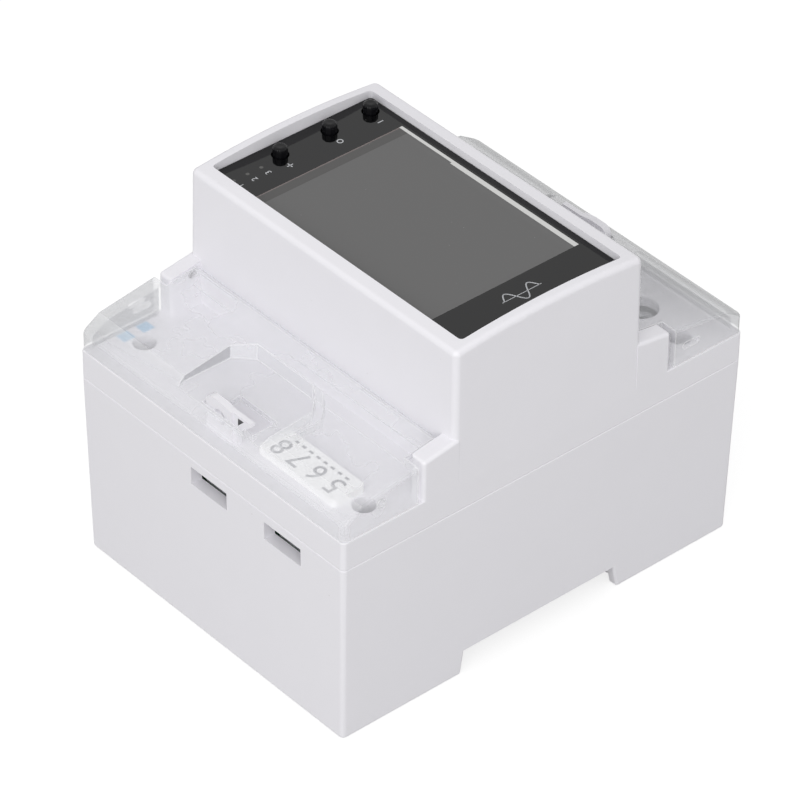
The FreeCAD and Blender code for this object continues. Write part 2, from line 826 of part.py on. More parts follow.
def make_base_housing():
    """The lower shell: drafted box, rail channel, clip guide, bosses, wire entries and sockets' slots."""
    base = Body("base_housing_body")
    bottom = rectangle(mirrored_span(base_half_width), mirrored_span(base_half_length))
    base.pad(base.sketch("XY", 0, [bottom]), S.seam_height, S.base_draft)
    base.round(S.base_corner, lambda middle, run: runs_along("z", run))
    base.round(S.base_bottom_round, lambda middle, run: near(middle.z, 0))
    base.round(S.seam_round, lambda middle, run: near(middle.z, S.seam_height))
    inner_width = mirrored_span(base_inner_half_width)
    inner_length = mirrored_span(base_inner_half_length)
    base.pocket(base.sketch("XY", deck_height, [rectangle(inner_width, inner_length)]), S.seam_height)
    deck_end = channel_half + S.deck_margin
    tunnel_side = S.clip_width / 2 + S.clip_play + S.base_floor
    lower_row = (-base_inner_half_length, -deck_end - S.clip_deck_margin)
    deep = [rectangle(inner_width, (deck_end, base_inner_half_length)),
            rectangle((tunnel_side, base_inner_half_width), lower_row),
            rectangle((-base_inner_half_width, -tunnel_side), lower_row)]
    base.pocket(base.sketch("XY", S.base_floor, deep), S.channel_depth + S.cut_margin)
    flare_ends = (channel_half + S.channel_flare_upper, -channel_half - S.channel_flare_lower)
    channel = [(channel_half, S.channel_depth), (flare_ends[0], 0), (flare_ends[0], -S.cut_margin),
               (flare_ends[1], -S.cut_margin), (flare_ends[1], 0), (-channel_half, S.channel_depth)]
    base.pocket(base.sketch("YZ", -half_width - S.cut_margin, [channel]),
                S.overall_width + 2 * S.cut_margin)
    base.round(S.channel_edge_round, lambda middle, run: runs_along("x", run) and near(middle.z, 0)
               and any(near(middle.y, end) for end in flare_ends))
    relief = rectangle(mirrored_span(half_width - S.seat_width), mirrored_span(channel_half))
    base.pocket(base.sketch("XY", S.channel_depth - S.overlap, [relief]), S.overlap + S.channel_relief)
    bay_end = channel_half + S.clip_bay_length
    bay = rectangle(inner_width, (-bay_end, -channel_half + S.overlap))
    base.pocket(base.sketch("XY", -S.cut_margin, [bay]), S.channel_depth + S.cut_margin)
    slot = mirrored_span(S.clip_width / 2 + S.clip_play)
    mouth = mirrored_span(S.clip_mouth_width / 2)
    slot_bottom = S.clip_height - S.clip_play
    tunnel = [(slot[0], slot_bottom), (slot[0], clip_slot_top),
              (slot[1], clip_slot_top), (slot[1], slot_bottom),
              (mouth[1], slot_bottom), (mouth[1], -S.cut_margin),
              (mouth[0], -S.cut_margin), (mouth[0], slot_bottom)]
    base.pocket(base.sketch("XZ", bay_end - S.overlap, [tunnel]), half_length)
    peg = rectangle(mirrored_span(S.spring_peg_width / 2),
                    (-spring_peg_start - S.spring_peg_length, -spring_peg_start))
    base.pad(base.sketch("XY", S.clip_height + S.spring_peg_lift, [peg]), S.clip_thickness + S.clip_play)
    for side in (-1, 1):
        span = (S.hook_centre * side - S.hook_length / 2, S.hook_centre * side + S.hook_length / 2)
        hook = rectangle(span, (channel_half - S.hook_reach, channel_half + S.hook_root))
        base.pad(base.sketch("XY", S.hook_height, [hook]), S.hook_thickness)
    bosses = [(place_of, S.base_boss_radius) for place_of in four_corners(screw_across, screw_along)]
    floor = S.base_floor - S.overlap
    base.pad(base.sketch("XY", floor, circles=bosses), S.base_boss_height - floor)
    deck = deck_height - S.overlap
    board_posts = [(spot, S.post_radius) for spot in four_corners(main_post_across, S.main_post_along)]
    base.pad(base.sketch("XY", deck, circles=board_posts), S.main_board_height - deck)
    signal_posts = [(spot, S.post_radius) for spot in signal_post_places()]
    base.pad(base.sketch("XY", floor, circles=signal_posts), signal_board_height - floor)
    drill = S.screw_shank_radius + S.thread_clearance
    pilots = [(spot, drill) for spot in four_corners(screw_across, screw_along)]
    depth = S.screw_shank_length
    base.pocket(base.sketch("XY", S.base_boss_height - depth, circles=pilots), depth + S.cut_margin)
    drill = S.small_screw_radius + S.thread_clearance
    depth = S.small_screw_length
    pilots = [(spot, drill) for spot in four_corners(main_post_across, S.main_post_along)]
    base.pocket(base.sketch("XY", S.main_board_height - depth, circles=pilots), depth + S.cut_margin)
    pilots = [(spot, drill) for spot in signal_post_places()]
    base.pocket(base.sketch("XY", signal_board_height - depth, circles=pilots), depth + S.cut_margin)
    rise = mirrored_span(S.slot_height / 2)
    slots = [rectangle((across - S.slot_width / 2, across + S.slot_width / 2),
                       (S.slot_middle_height + rise[0], S.slot_middle_height + rise[1]))
             for across in (slot_first_across, slot_second_across)]
    through_wall = S.base_wall + S.base_draft + 2 * S.cut_margin
    base.pocket(base.sketch("XZ", -half_length - S.cut_margin, slots), through_wall)
    entries = [((across, wire_height), S.wire_entry_radius) for across in terminal_places]
    base.pocket(base.sketch("XZ", base_inner_half_length - S.cut_margin, circles=entries), through_wall)
    keep("base_housing", base.item)


def signal_post_places():
    """The four posts under the signal board."""
    between_sockets = (slot_first_across + slot_second_across) / 2
    return [(-signal_post_across, signal_post_lower), (signal_post_across, signal_post_lower),
            (signal_post_across, signal_post_upper), (between_sockets, signal_post_upper)]


def ear_prism(name, side, end):
    """One ear beside the tower: side is the sign of X, end the sign of Y."""
    inner = half_width - S.ear_width
    root = tower_half - 2 * S.overlap
    fall = ear_height - (ear_end - root) * S.ear_slope
    foot = S.ledge_height - S.overlap
    section = [(root * end, foot), (ear_end * end, foot),
               (ear_end * end, fall), (root * end, ear_height)]
    span = (inner, half_width) if side > 0 else (-half_width, -inner)
    ear = prism(name, "YZ", section, *span)
    outer = float(half_width) * side
    return rounded(name + "_round", ear,
                   (S.ear_round, lambda middle, run: near(abs(middle.y), ear_end)
                    and (runs_along("z", run) or runs_along("x", run))),
                   (S.ear_round, lambda middle, run: near(middle.x, outer) and middle.z > float(fall)
                    and runs_along("y", run)))


def sealing_lug(name, end):
    """The moulded lug that takes the seal wire, at one end of the casing, with its thinner pointed tip."""
    foot = S.ledge_height - S.overlap
    stem = [(S.lug_left * end, foot), (S.lug_left * end, lug_height),
            (S.lug_shoulder_start * end, lug_height),
            (-S.lug_shoulder_end * end, lug_tip_height), (-S.lug_shoulder_end * end, foot)]
    start = lug_along * end if end > 0 else -lug_along - S.lug_thickness
    plate = prism(name, "XZ", stem, start, start + S.lug_thickness)
    corner = float(S.lug_left) * end
    plate = rounded(name + "_round", plate,
                    (S.lug_round, lambda middle, run: near(middle.x, corner)
                     and near(middle.z, lug_height)))
    beak = [(0, foot), (0, lug_tip_height), (-S.lug_beak * end, lug_tip_height),
            (-S.lug_beak * end, lug_tip_height - S.lug_beak_thickness),
            (-S.lug_stem * end, lug_tip_height - S.lug_beak_drop), (-S.lug_stem * end, foot)]
    tip_start = lug_along * end if end > 0 else -lug_along - S.lug_tip_thickness
    tip = prism(name + "_tip", "XZ", beak, tip_start, tip_start + S.lug_tip_thickness)
    hole = rod(name + "_hole", "y", S.lug_hole_radius,
               (S.lug_hole_across * end, start - S.cut_margin, lug_hole_height),
               S.lug_thickness + 2 * S.cut_margin)
    return cut(name + "_cut", fuse(name + "_with_tip", plate, tip), hole)


def drafted_block(name, foot, head, levels):
    """A block whose foot and head are centred rectangles of two sizes, each given by its half sides."""
    item = document.addObject("Part::Wedge", name)
    item.Placement = FreeCAD.Placement(FreeCAD.Vector(), FreeCAD.Rotation(FreeCAD.Vector(1, 0, 0), 90))
    for side, value in (("X", foot[0]), ("Z", foot[1]), ("X2", head[0]), ("Z2", head[1])):
        bind(item, side + "max", value)
        bind(item, side + "min", -value)
    bind(item, "Ymax", levels[1])
    bind(item, "Ymin", levels[0])
    return item


def make_upper_housing():
    """The upper shell: ledge, ears, sealing lugs and the tower with the recess for the panel."""
    band = block("ledge_band", mirrored_span(half_width), mirrored_span(half_length),
                 (S.seam_height, S.ledge_height))
    band = rounded("ledge_band_round", band, (S.base_corner, lambda middle, run: runs_along("z", run)))
    band = rounded("ledge_band_edges", band,
                   (S.seam_round, lambda middle, run: near(middle.z, S.seam_height)),
                   (S.seam_round, lambda middle, run: near(middle.z, S.ledge_height)))
    tower = drafted_block("tower_block", (half_width, tower_half),
                          (half_width - S.tower_draft_across, tower_half - S.tower_draft_along),
                          (S.ledge_height - S.cut_margin, S.crown_height + S.cut_margin))
    crown = rod("crown_cylinder", "x", S.crown_radius,
                (-half_width - S.cut_margin, 0, S.crown_height - S.crown_radius),
                S.overall_width + 2 * S.cut_margin)
    crown_foot = S.crown_height - S.crown_radius + math.sqrt(
        float(S.crown_radius) ** 2 - float(tower_half) ** 2)
    tower = common("tower_crowned", tower, crown)
    tower = rounded("tower_corners", tower, (S.tower_corner, lambda middle, run: runs_along("z", run)))
    tower = rounded("tower_rim", tower,
                    (S.crown_round, lambda middle, run: middle.z > float(crown_foot) - 2 * TOLERANCE))
    ears = [ear_prism(f"ear_{side + 1}{end + 1}", side, end) for side in (-1, 1) for end in (-1, 1)]
    lugs = [sealing_lug("lug_upper", 1), sealing_lug("lug_lower", -1)]
    shell = fuse("upper_outer", band, tower, *ears, *lugs)
    lip_half_width = base_inner_half_width - S.lip_clearance
    lip_half_length = base_inner_half_length - S.lip_clearance
    lip_in_width = lip_half_width - S.lip_thickness
    lip_in_length = lip_half_length - S.lip_thickness
    lip = block("lip", mirrored_span(lip_half_width), mirrored_span(lip_half_length),
                (S.seam_height - S.lip_height, S.seam_height + S.overlap))
    corners = four_corners(screw_across, screw_along)
    bosses = [rod(f"upper_boss_{number}", "z", S.upper_boss_radius, (x, y, S.base_boss_height),
                  S.ledge_height - S.overlap - S.base_boss_height)
              for number, (x, y) in enumerate(corners, start=1)]
    post_length = panel_seat - S.display_post_end - display_board_top
    posts = [rod(f"display_post_{number}", "z", S.display_post_radius, (x, y, display_board_top),
                 post_length)
             for number, (x, y) in enumerate(display_posts, start=1)]
    ceiling = S.ledge_height - S.ledge_thickness
    lip_bottom = S.seam_height - S.lip_height - S.cut_margin
    low_room = block("low_room", mirrored_span(lip_in_width), mirrored_span(lip_in_length),
                     (lip_bottom, S.seam_height + S.cut_margin))
    high_room = block("high_room", mirrored_span(half_width - S.upper_wall),
                      mirrored_span(half_length - S.upper_wall), (S.seam_height + S.cut_margin, ceiling))
    tower_room = block("tower_room", mirrored_span(tower_inner_half_width),
                       mirrored_span(tower_inner_half_length),
                       (ceiling - S.overlap, panel_seat - S.shelf_thickness))
    bay_half = terminal_pitch * 2 + S.terminal_bay_gap
    terminal_room = block("terminal_room", mirrored_span(bay_half),
                          (-terminal_body_front - S.terminal_bay_gap, -terminal_body_back),
                          (lip_bottom, ceiling))
    shell = cut("upper_hollow", fuse("upper_with_lip", shell, lip),
                low_room, high_room, tower_room, terminal_room)
    shell = fuse("upper_with_posts", shell, *bosses, *posts)
    opening = block("shelf_opening",
                    (-recess_half_width + S.shelf_right_width, recess_half_width - S.shelf_left_width),
                    mirrored_span(recess_half_length - S.shelf_long_width),
                    (panel_seat - S.shelf_thickness - S.overlap, panel_seat + S.cut_margin))
    opening = cut("shelf_opening_clear", opening,
                  *[rod(f"post_keep_{number}", "z", S.display_post_radius,
                        (x, y, display_board_top), post_length)
                    for number, (x, y) in enumerate(display_posts, start=1)])
    recess = block("panel_recess", mirrored_span(recess_half_width), mirrored_span(recess_half_length),
                   (panel_seat, S.crown_height + S.cut_margin))
    recess = rounded("panel_recess_round", recess,
                     (S.panel_corner, lambda middle, run: runs_along("z", run)))
    tools = [opening, recess]
    for number, (x, y) in enumerate(corners, start=1):
        tools.append(rod(f"head_hole_{number}", "z", S.screw_head_radius + S.screw_head_clearance,
                         (x, y, screw_seat_height), S.ledge_height))
        tools.append(rod(f"shank_hole_{number}", "z", S.screw_shank_radius + S.shank_clearance,
                         (x, y, S.base_boss_height - S.cut_margin), S.ledge_height))
    for number, across in enumerate(terminal_places, start=1):
        tools.append(rod(f"well_{number}", "z", S.well_radius,
                         (across, -terminal_along, ceiling - S.cut_margin),
                         S.ledge_thickness + 2 * S.cut_margin))
    for number, (x, y) in enumerate(display_posts, start=1):
        tools.append(rod(f"post_pilot_{number}", "z", S.small_screw_radius + S.thread_clearance,
                         (x, y, display_board_top - S.cut_margin), S.small_screw_length))
    axis_height = hinge_height()
    reach = S.hinge_pin_length + S.overlap
    for side in (-1, 1):
        inner = cover_half_narrow
        start = inner if side > 0 else -inner - reach
        for end in (-1, 1):
            tools.append(rod(f"pin_hole_{side + 1}{end + 1}", "x", S.hinge_pin_radius + S.hinge_clearance,
                             (start, S.hinge_along * end, axis_height), reach))
    keep("upper_housing", cut("upper_housing_cut", shell, *tools))


def cover_level(along):
    """The height of the cover's top plane at a distance along the casing."""
    return cover_height - (along - tower_half + S.tower_draft_along) * S.cover_slope


def hinge_height():
    """The hinge axis lies so that the barrel touches the cover's top plane."""
    slant = math.hypot(1.0, float(S.cover_slope))
    return cover_level(S.hinge_along) - S.hinge_radius * slant


def make_cover(name, turned):
    """A hinged cover: a drafted hood with a pocket round the sealing lug, a barrel and two pins."""
    bottom = S.ledge_height + S.cover_gap
    knee = cover_knee_along
    wide = [(cover_wide_start, bottom), (half_length, bottom), (half_length, cover_skirt_height),
            (knee, cover_level(knee)), (cover_wide_start, cover_level(cover_wide_start))]
    hood = prism(name + "_hood", "YZ", wide, -half_width, half_width)
    hood = rounded(name + "_hood_corners", hood,
                   (S.cover_corner, lambda middle, run: runs_along("z", run)
                    and near(middle.y, half_length)))
    low = float(bottom) + TOLERANCE
    start = float(cover_wide_start) + TOLERANCE
    hood = rounded(name + "_hood_edges", hood,
                   (S.cover_edge_round, lambda middle, run: middle.z > low and not runs_along("z", run)
                    and (middle.y > start or runs_along("y", run))
                    and not (runs_along("x", run) and near(middle.x, 0) and near(middle.y, knee))))
    wall = S.cover_wall
    narrow = [(S.hinge_along, cover_level(S.hinge_along) - wall), (knee, cover_level(knee) - wall),
              (knee, cover_level(knee)), (S.hinge_along, cover_level(S.hinge_along))]
    tongue = prism(name + "_tongue", "YZ", narrow, -cover_half_narrow, cover_half_narrow)
    barrel = rod(name + "_barrel", "x", S.hinge_radius,
                 (-cover_half_narrow, S.hinge_along, hinge_height()), cover_half_narrow * 2)
    pins = rod(name + "_pins", "x", S.hinge_pin_radius,
               (-cover_half_narrow - S.hinge_pin_length, S.hinge_along, hinge_height()),
               cover_half_narrow * 2 + 2 * S.hinge_pin_length)
    room_start = cover_wide_start - S.cut_margin
    room = [(room_start, bottom - S.cut_margin), (half_length - wall, bottom - S.cut_margin),
            (half_length - wall, cover_skirt_height - wall / 2),
            (knee - wall / 3, cover_level(knee) - wall),
            (room_start, cover_level(cover_wide_start) - wall)]
    hollow = prism(name + "_hollow", "YZ", room, -half_width + wall, half_width - wall)
    cup_points = pocket_outline(S.pocket_wall, half_length - S.pocket_limit * 2)
    cup = prism(name + "_cup", "XY", cup_points, pocket_floor - S.pocket_wall, cover_height)
    limit = prism(name + "_cup_limit", "YZ", wide_limit(bottom), -half_width, half_width)
    cup = common(name + "_cup_within", cup, limit)
    shell = fuse(name + "_shell", cut(name + "_hood_hollow", hood, hollow), tongue, barrel, pins, cup)
    pocket = prism(name + "_pocket", "XY", pocket_outline(sized(0), half_length + S.cut_margin),
                   pocket_floor, cover_height + S.cut_margin)
    through_floor = (pocket_floor - S.pocket_wall - S.overlap, pocket_floor + S.overlap)
    slot = block(name + "_lug_slot_wide", (-S.lug_slot_right, S.lug_slot_wide),
                 (lug_slot_start, lug_slot_tip_end), through_floor)
    slot_narrow = block(name + "_lug_slot_narrow", (-S.lug_slot_narrow, S.lug_slot_left),
                        (lug_along - S.lug_slot_back, lug_slot_end), through_floor)
    vent = block(name + "_vent", (half_width - wall - S.overlap, half_width + S.cut_margin),
                 (vent_start, vent_end),
                 (vent_height - S.vent_width / 2, vent_height + S.vent_width / 2))
    vent = rounded(name + "_vent_round", vent, (S.vent_end_radius, lambda middle, run: runs_along("x", run)))
    cover = cut(name + "_cut", shell, pocket, slot, slot_narrow, vent)
    if turned:
        cover.Placement = FreeCAD.Placement(FreeCAD.Vector(), FreeCAD.Rotation(FreeCAD.Vector(0, 0, 1), 180))
    keep(name, cover)


def wide_limit(bottom):
    """The section that keeps the pocket's walls inside the cover."""
    knee = cover_knee_along
    inset = S.pocket_limit
    start = pocket_start - 2 * S.pocket_wall
    return [(start, bottom), (half_length - inset, bottom),
            (half_length - inset, cover_skirt_height - inset), (knee - inset, cover_level(knee) - inset),
            (start, cover_level(start) - inset)]


def pocket_outline(margin, end):
    """The pocket's outline in plan: straight inner side, bevelled corners, open towards the end wall."""
    left = S.pocket_left + margin
    right = -S.pocket_right - margin
    start = pocket_start - margin
    bevel = S.pocket_bevel
    return [(left - S.pocket_flare, end), (left, end - S.pocket_flare_length),
            (left, start + bevel), (left - bevel, start), (right + bevel + S.pocket_inset, start),
            (right + S.pocket_hollow_across, start + S.pocket_hollow_along),
            (right, start + S.pocket_hollow_end), (right + S.pocket_mouth, end)]


def make_panel():
    """The glossy panel over the display, with the three button holes."""
    panel = Body("display_panel_body")
    outline = rectangle(mirrored_span(recess_half_width - S.panel_gap),
                        mirrored_span(recess_half_length - S.panel_gap))
    holes = [((button_across, along), S.button_radius + S.button_hole_clearance)
             for along in button_places.values()]
    panel.pad(panel.sketch("XY", panel_seat, [outline], holes), S.panel_thickness)
    side = recess_half_width - S.panel_gap
    panel.round(S.panel_corner, lambda middle, run: runs_along("z", run) and near(abs(middle.x), side))
    keep("display_panel", panel.item)


def make_buttons():
    """Three push buttons: cap above the panel, captive collar under it and stem down to the switch."""
    collar_top = panel_seat - S.button_collar_gap
    cap_top = panel_height + S.button_proud
    for name, along in button_places.items():
        centre = (button_across, along)
        stem = rod(f"{name}_stem", "z", S.button_radius, (*centre, plunger_top), cap_top - plunger_top)
        stem = rounded(f"{name}_stem_dome", stem,
                       (S.button_dome, lambda middle, run: near(middle.z, cap_top)))
        collar = rod(f"{name}_collar", "z", S.button_collar_radius,
                     (*centre, collar_top - S.button_collar_thickness), S.button_collar_thickness)
        keep(f"button_{name}", fuse(f"button_{name}_solid", stem, collar))
        plunger = rod(f"{name}_plunger", "z", S.plunger_radius, (*centre, switch_top - S.plunger_depth),
                      S.plunger_depth + S.plunger_proud)
        keep(f"switch_plunger_{name}", plunger)


def make_switches():
    """The three switch bodies on the display board, each with a hole for its plunger."""
    bodies = []
    for name, along in button_places.items():
        half = S.switch_side / 2
        body = block(f"{name}_switch_box", (button_across - half, button_across + half),
                     (along - half, along + half), (display_board_top, switch_top))
        body = rounded(f"{name}_switch_round", body,
                       (S.switch_round, lambda middle, run: runs_along("z", run)))
        hole = rod(f"{name}_switch_hole", "z", S.plunger_radius + S.plunger_clearance,
                   (button_across, along, switch_top - S.plunger_depth - S.press_room),
                   S.plunger_depth + S.press_room + S.cut_margin)
        bodies.append(cut(f"{name}_switch", body, hole))
    keep("tact_switches", group("tact_switch_group", *bodies))


def make_display():
    """The display glass in its white light tray, which stands on the display board."""
    left = window_left + S.glass_overlap
    right = -window_right - S.glass_overlap
    glass = block("glass_block", (right, left), (-S.glass_lower, S.glass_upper),
                  (glass_seat_height, glass_seat_height + S.glass_thickness))
    glass = rounded("glass_round", glass, (S.glass_corner, lambda middle, run: runs_along("z", run)))
    keep("display_glass", glass)
    play = S.light_tray_play
    margin = S.cut_margin
    tray = block("tray_block", (right - S.light_tray_side, left + S.light_tray_side),
                 (-S.glass_lower - S.light_tray_wall, S.glass_upper + 2 * play),
                 (display_board_top, light_tray_rim))
    above = block("tray_seat", (right - play, left + play), (-S.glass_lower - play, S.glass_upper + margin),
                  (glass_seat_height, light_tray_rim + margin))
    under = block("tray_under", (right + S.light_tray_side, left - S.light_tray_side),
                  (-S.glass_lower + S.light_tray_side, S.glass_upper - S.light_tray_side),
                  (display_board_top - margin, display_board_top + S.light_tray_floor))
    keep("display_light_tray", cut("tray_cut", tray, above, under))


def lamp_places():
    """Positions of the three lamps along the casing."""
    return [S.lamp_first_along + S.lamp_pitch * step for step in range(3)]


def make_lamps():
    """Three lamps on the display board and the clear moulding that brings their light to the panel."""
    half_bar = S.pipe_bar_width / 2
    places = lamp_places()
    pipe_bottom = display_board_top + S.lamp_thickness + S.pipe_end_gap
    prongs = [rod(f"pipe_{number}", "z", S.pipe_radius, (lamp_across, along, pipe_bottom),
                  panel_seat - S.pipe_end_gap - pipe_bottom) for number, along in enumerate(places, start=1)]
    bar = block("pipe_bar", (lamp_across - half_bar, lamp_across + half_bar),
                (places[0] - half_bar, places[-1] + half_bar),
                (pipe_bar_height, pipe_bar_height + S.pipe_bar_thickness))
    foot = block("pipe_foot",
                 (lamp_across - half_bar - S.pipe_foot_width, lamp_across - half_bar),
                 (places[0] - half_bar, places[-1] + half_bar),
                 (display_board_top, pipe_bar_height + S.pipe_bar_thickness))
    keep("light_pipe", fuse("light_pipe_solid", bar, foot, *prongs))
    lamps = [block(f"lamp_{number}",
                   (lamp_across - S.lamp_length / 2, lamp_across + S.lamp_length / 2),
                   (along - S.lamp_width / 2, along + S.lamp_width / 2),
                   (display_board_top, display_board_top + S.lamp_thickness))
             for number, along in enumerate(places, start=1)]
    keep("indicator_lamps", group("lamp_group", *lamps))


def make_boards():
    """The three circuit boards, with the holes for their screws."""
    hole = S.small_screw_radius + S.shank_clearance
    edge = S.display_board_gap
    outline = rectangle(mirrored_span(tower_inner_half_width - edge),
                        mirrored_span(tower_inner_half_length - edge))
    board = prism("display_board_solid", "XY", outline, display_board_bottom, display_board_top,
                  [(spot, hole) for spot in display_posts])
    keep("display_board", board)
    outline = rectangle(mirrored_span(half_width - S.main_board_side), (-main_board_lower, main_board_upper))
    board = prism("main_board_plate", "XY", outline, S.main_board_height, main_board_top,
                  [(spot, hole) for spot in four_corners(main_post_across, S.main_post_along)])
    notch = S.base_boss_radius + S.boss_notch_gap
    low, high = S.main_board_height - S.cut_margin, main_board_top + S.cut_margin
    notches = [rod(f"main_board_notch_{side + 1}", "z", notch,
                   (screw_across * side, -screw_along, low), high - low)
               for side in (-1, 1)]
    corners = [block(f"main_board_corner_{side + 1}",
                     (screw_across, half_width) if side > 0 else (-half_width, -screw_across),
                     (-half_length, -screw_along + notch), (low, high)) for side in (-1, 1)]
    keep("main_board", cut("main_board_cut", board, *notches, *corners))
    outline = rectangle(mirrored_span(signal_board_half),
                        (signal_board_lower, signal_board_upper))
    pin_holes = [(spot, S.pin_hole_radius) for spot in signal_pin_places()]
    board = prism("signal_board_solid", "XY", outline, signal_board_height, signal_board_top,
                  [(spot, hole) for spot in signal_post_places()] + pin_holes)
    keep("signal_board", board)


def make_small_screws(name, places, seat, downward):
    """Screws that hold a board: the head on the board, the shank into the post."""
    screws = []
    for number, (x, y) in enumerate(places, start=1):
        head_start = seat if downward else seat - S.small_head_thickness
        head = rod(f"{name}_head_{number}", "z", S.small_head_radius, (x, y, head_start),
                   S.small_head_thickness)
        reach = S.small_screw_length - S.screw_end_room + S.board_thickness
        shank_start = seat - reach if downward else seat
        shank = rod(f"{name}_shank_{number}", "z", S.small_screw_radius, (x, y, shank_start), reach)
        screws.append(fuse(f"{name}_{number}", head, shank))
    keep(name, group(name + "_group", *screws))


def make_housing_screws():
    """The four long screws that draw the two shells together."""
    screws = []
    for number, (x, y) in enumerate(four_corners(screw_across, screw_along), start=1):
        head = rod(f"housing_head_{number}", "z", S.screw_head_radius, (x, y, screw_seat_height),
                   S.screw_head_thickness)
        shank = rod(f"housing_shank_{number}", "z", S.screw_shank_radius,
                    (x, y, screw_seat_height - S.screw_shank_length), S.screw_shank_length + S.overlap)
        half_slot, half_width_of_slot = S.screw_slot_length / 2, S.screw_slot_width / 2
        slot = block(f"housing_slot_{number}", (x - half_slot, x + half_slot),
                     (y - half_width_of_slot, y + half_width_of_slot),
                     (screw_seat_height + S.screw_slot_floor,
                      screw_seat_height + S.screw_head_thickness + S.cut_margin))
        blank = fuse(f"housing_screw_blank_{number}", head, shank)
        screws.append(cut(f"housing_screw_{number}", blank, slot))
    keep("housing_screws", group("housing_screw_group", *screws))


def make_mains_terminals():
    """The four mains clamps: moulded body, rising cages, captive screws and the two current bars."""
    half_body = terminal_pitch * 2
    body = block("terminal_block", mirrored_span(half_body), (-terminal_body_front, -terminal_body_back),
                 (main_board_top, terminal_body_top))
    tools = []
    cell_floor = main_board_top + S.cell_floor
    for number, across in enumerate(terminal_places, start=1):
        half_cell = S.cell_width / 2
        cell = (-terminal_along - S.cell_length / 2, -terminal_along + S.cell_length / 2)
        tools.append(block(f"cell_{number}", (across - half_cell, across + half_cell), cell,
                           (cell_floor, cell_top)))
        tools.append(rod(f"screw_way_{number}", "z", S.clamp_screw_radius + S.clamp_way_clearance,
                         (across, -terminal_along, cell_top - S.cut_margin),
                         S.clamp_web + 2 * S.cut_margin))
        tools.append(rod(f"screw_well_{number}", "z", S.clamp_head_radius + S.clamp_head_clearance,
                         (across, -terminal_along, clamp_seat), terminal_body_top))
        tools.append(rod(f"funnel_{number}", "y", S.wire_entry_radius,
                         (across, -terminal_body_front - S.cut_margin, wire_height),
                         S.wire_funnel_depth + S.cut_margin))
        half_bar = S.bar_width / 2 + S.bar_clearance
        tools.append(block(f"bar_way_{number}", (across - half_bar, across + half_bar),
                           (-terminal_along, -terminal_body_back + S.cut_margin),
                           (S.bar_height - S.bar_level_clearance,
                            S.bar_height + S.bar_thickness + S.bar_level_clearance)))
    keep("mains_terminal_block", cut("terminal_block_cut", body, *tools))
    for number, across in enumerate(terminal_places, start=1):
        make_clamp(number, across)
    for name, first in (("current_shunt", 0), ("neutral_bar", 2)):
        make_bar(name, terminal_places[first], terminal_places[first + 1])


def make_clamp(number, across):
    """One rising cage and the captive screw that lifts it."""
    half = S.cage_width / 2
    ends = (-terminal_along - S.cage_length / 2, -terminal_along + S.cage_length / 2)
    frame = block(f"cage_block_{number}", (across - half, across + half), ends, (S.cage_start, cage_top))
    frame = rounded(f"cage_round_{number}", frame, (S.cage_round, lambda middle, run: runs_along("y", run)))
    inner = half - S.cage_wall
    room = block(f"cage_room_{number}", (across - inner, across + inner),
                 (ends[0] - S.cut_margin, ends[1] + S.cut_margin),
                 (S.cage_start + S.cage_wall, cage_top - S.cage_wall))
    thread = rod(f"cage_thread_{number}", "z", S.clamp_screw_radius + S.clamp_thread_clearance,
                 (across, -terminal_along, cage_top - S.cage_wall - S.cut_margin),
                 S.cage_wall + 2 * S.cut_margin)
    keep(f"clamp_cage_{number}", cut(f"cage_cut_{number}", frame, room, thread))
    low = S.bar_height + S.bar_thickness + S.clamp_shank_gap
    top = clamp_seat + S.clamp_head_thickness
    shank = rod(f"clamp_shank_{number}", "z", S.clamp_screw_radius, (across, -terminal_along, low),
                clamp_seat + S.overlap - low)
    head = rod(f"clamp_head_{number}", "z", S.clamp_head_radius, (across, -terminal_along, clamp_seat),
               S.clamp_head_thickness)
    head = rounded(f"clamp_head_round_{number}", head,
                   (S.clamp_head_round, lambda middle, run: near(middle.z, top)))
    slot_end = S.clamp_head_radius + S.cut_margin
    slot_half = S.clamp_slot_width / 2
    along = -terminal_along
    level = (top - S.clamp_slot_depth, top + S.cut_margin)
    slot = block(f"clamp_slot_{number}", (across - slot_end, across + slot_end),
                 (along - slot_half, along + slot_half), level)
    cross = block(f"clamp_cross_{number}", (across - slot_half, across + slot_half),
                  (along - S.clamp_cross_half, along + S.clamp_cross_half), level)
    blank = fuse(f"clamp_screw_blank_{number}", shank, head)
    keep(f"clamp_screw_{number}", cut(f"clamp_screw_cut_{number}", blank, slot, cross))


def make_bar(name, first, second):
    """A bar that carries the current from one clamp to the next, narrower across its middle."""
    half = S.bar_width / 2
    tip = -terminal_along - S.bar_reach
    inner = -bar_inner_end
    outline = [(first - half, tip), (first + half, tip), (first + half, inner - S.bar_neck_width),
               (second - half, inner - S.bar_neck_width), (second - half, tip), (second + half, tip),
               (second + half, inner), (first - half, inner)]
    bar = prism(name + "_solid", "XY", outline, S.bar_height, S.bar_height + S.bar_thickness)
    bar = rounded(name + "_round", bar,
                  (S.bar_corner, lambda middle, run: runs_along("z", run) and near(middle.y, inner)))
    half_leg = S.bar_leg_width / 2
    legs = [block(f"{name}_leg_{side}", (across - half_leg, across + half_leg),
                  (inner - S.bar_leg_start, inner - S.bar_leg_end),
                  (main_board_top, S.bar_height + S.overlap))
            for side, across in enumerate((first, second), start=1)]
    keep(name, fuse(name + "_with_legs", bar, *legs))


def signal_pin_places():
    """Where the pins of the two sockets pass through the signal board."""
    along = socket_face - S.socket_length - S.pin_bend + S.pin_side / 2
    return [(across + S.pin_pitch * step, along)
            for across in (slot_first_across, slot_second_across) for step in (-1, 0, 1)]


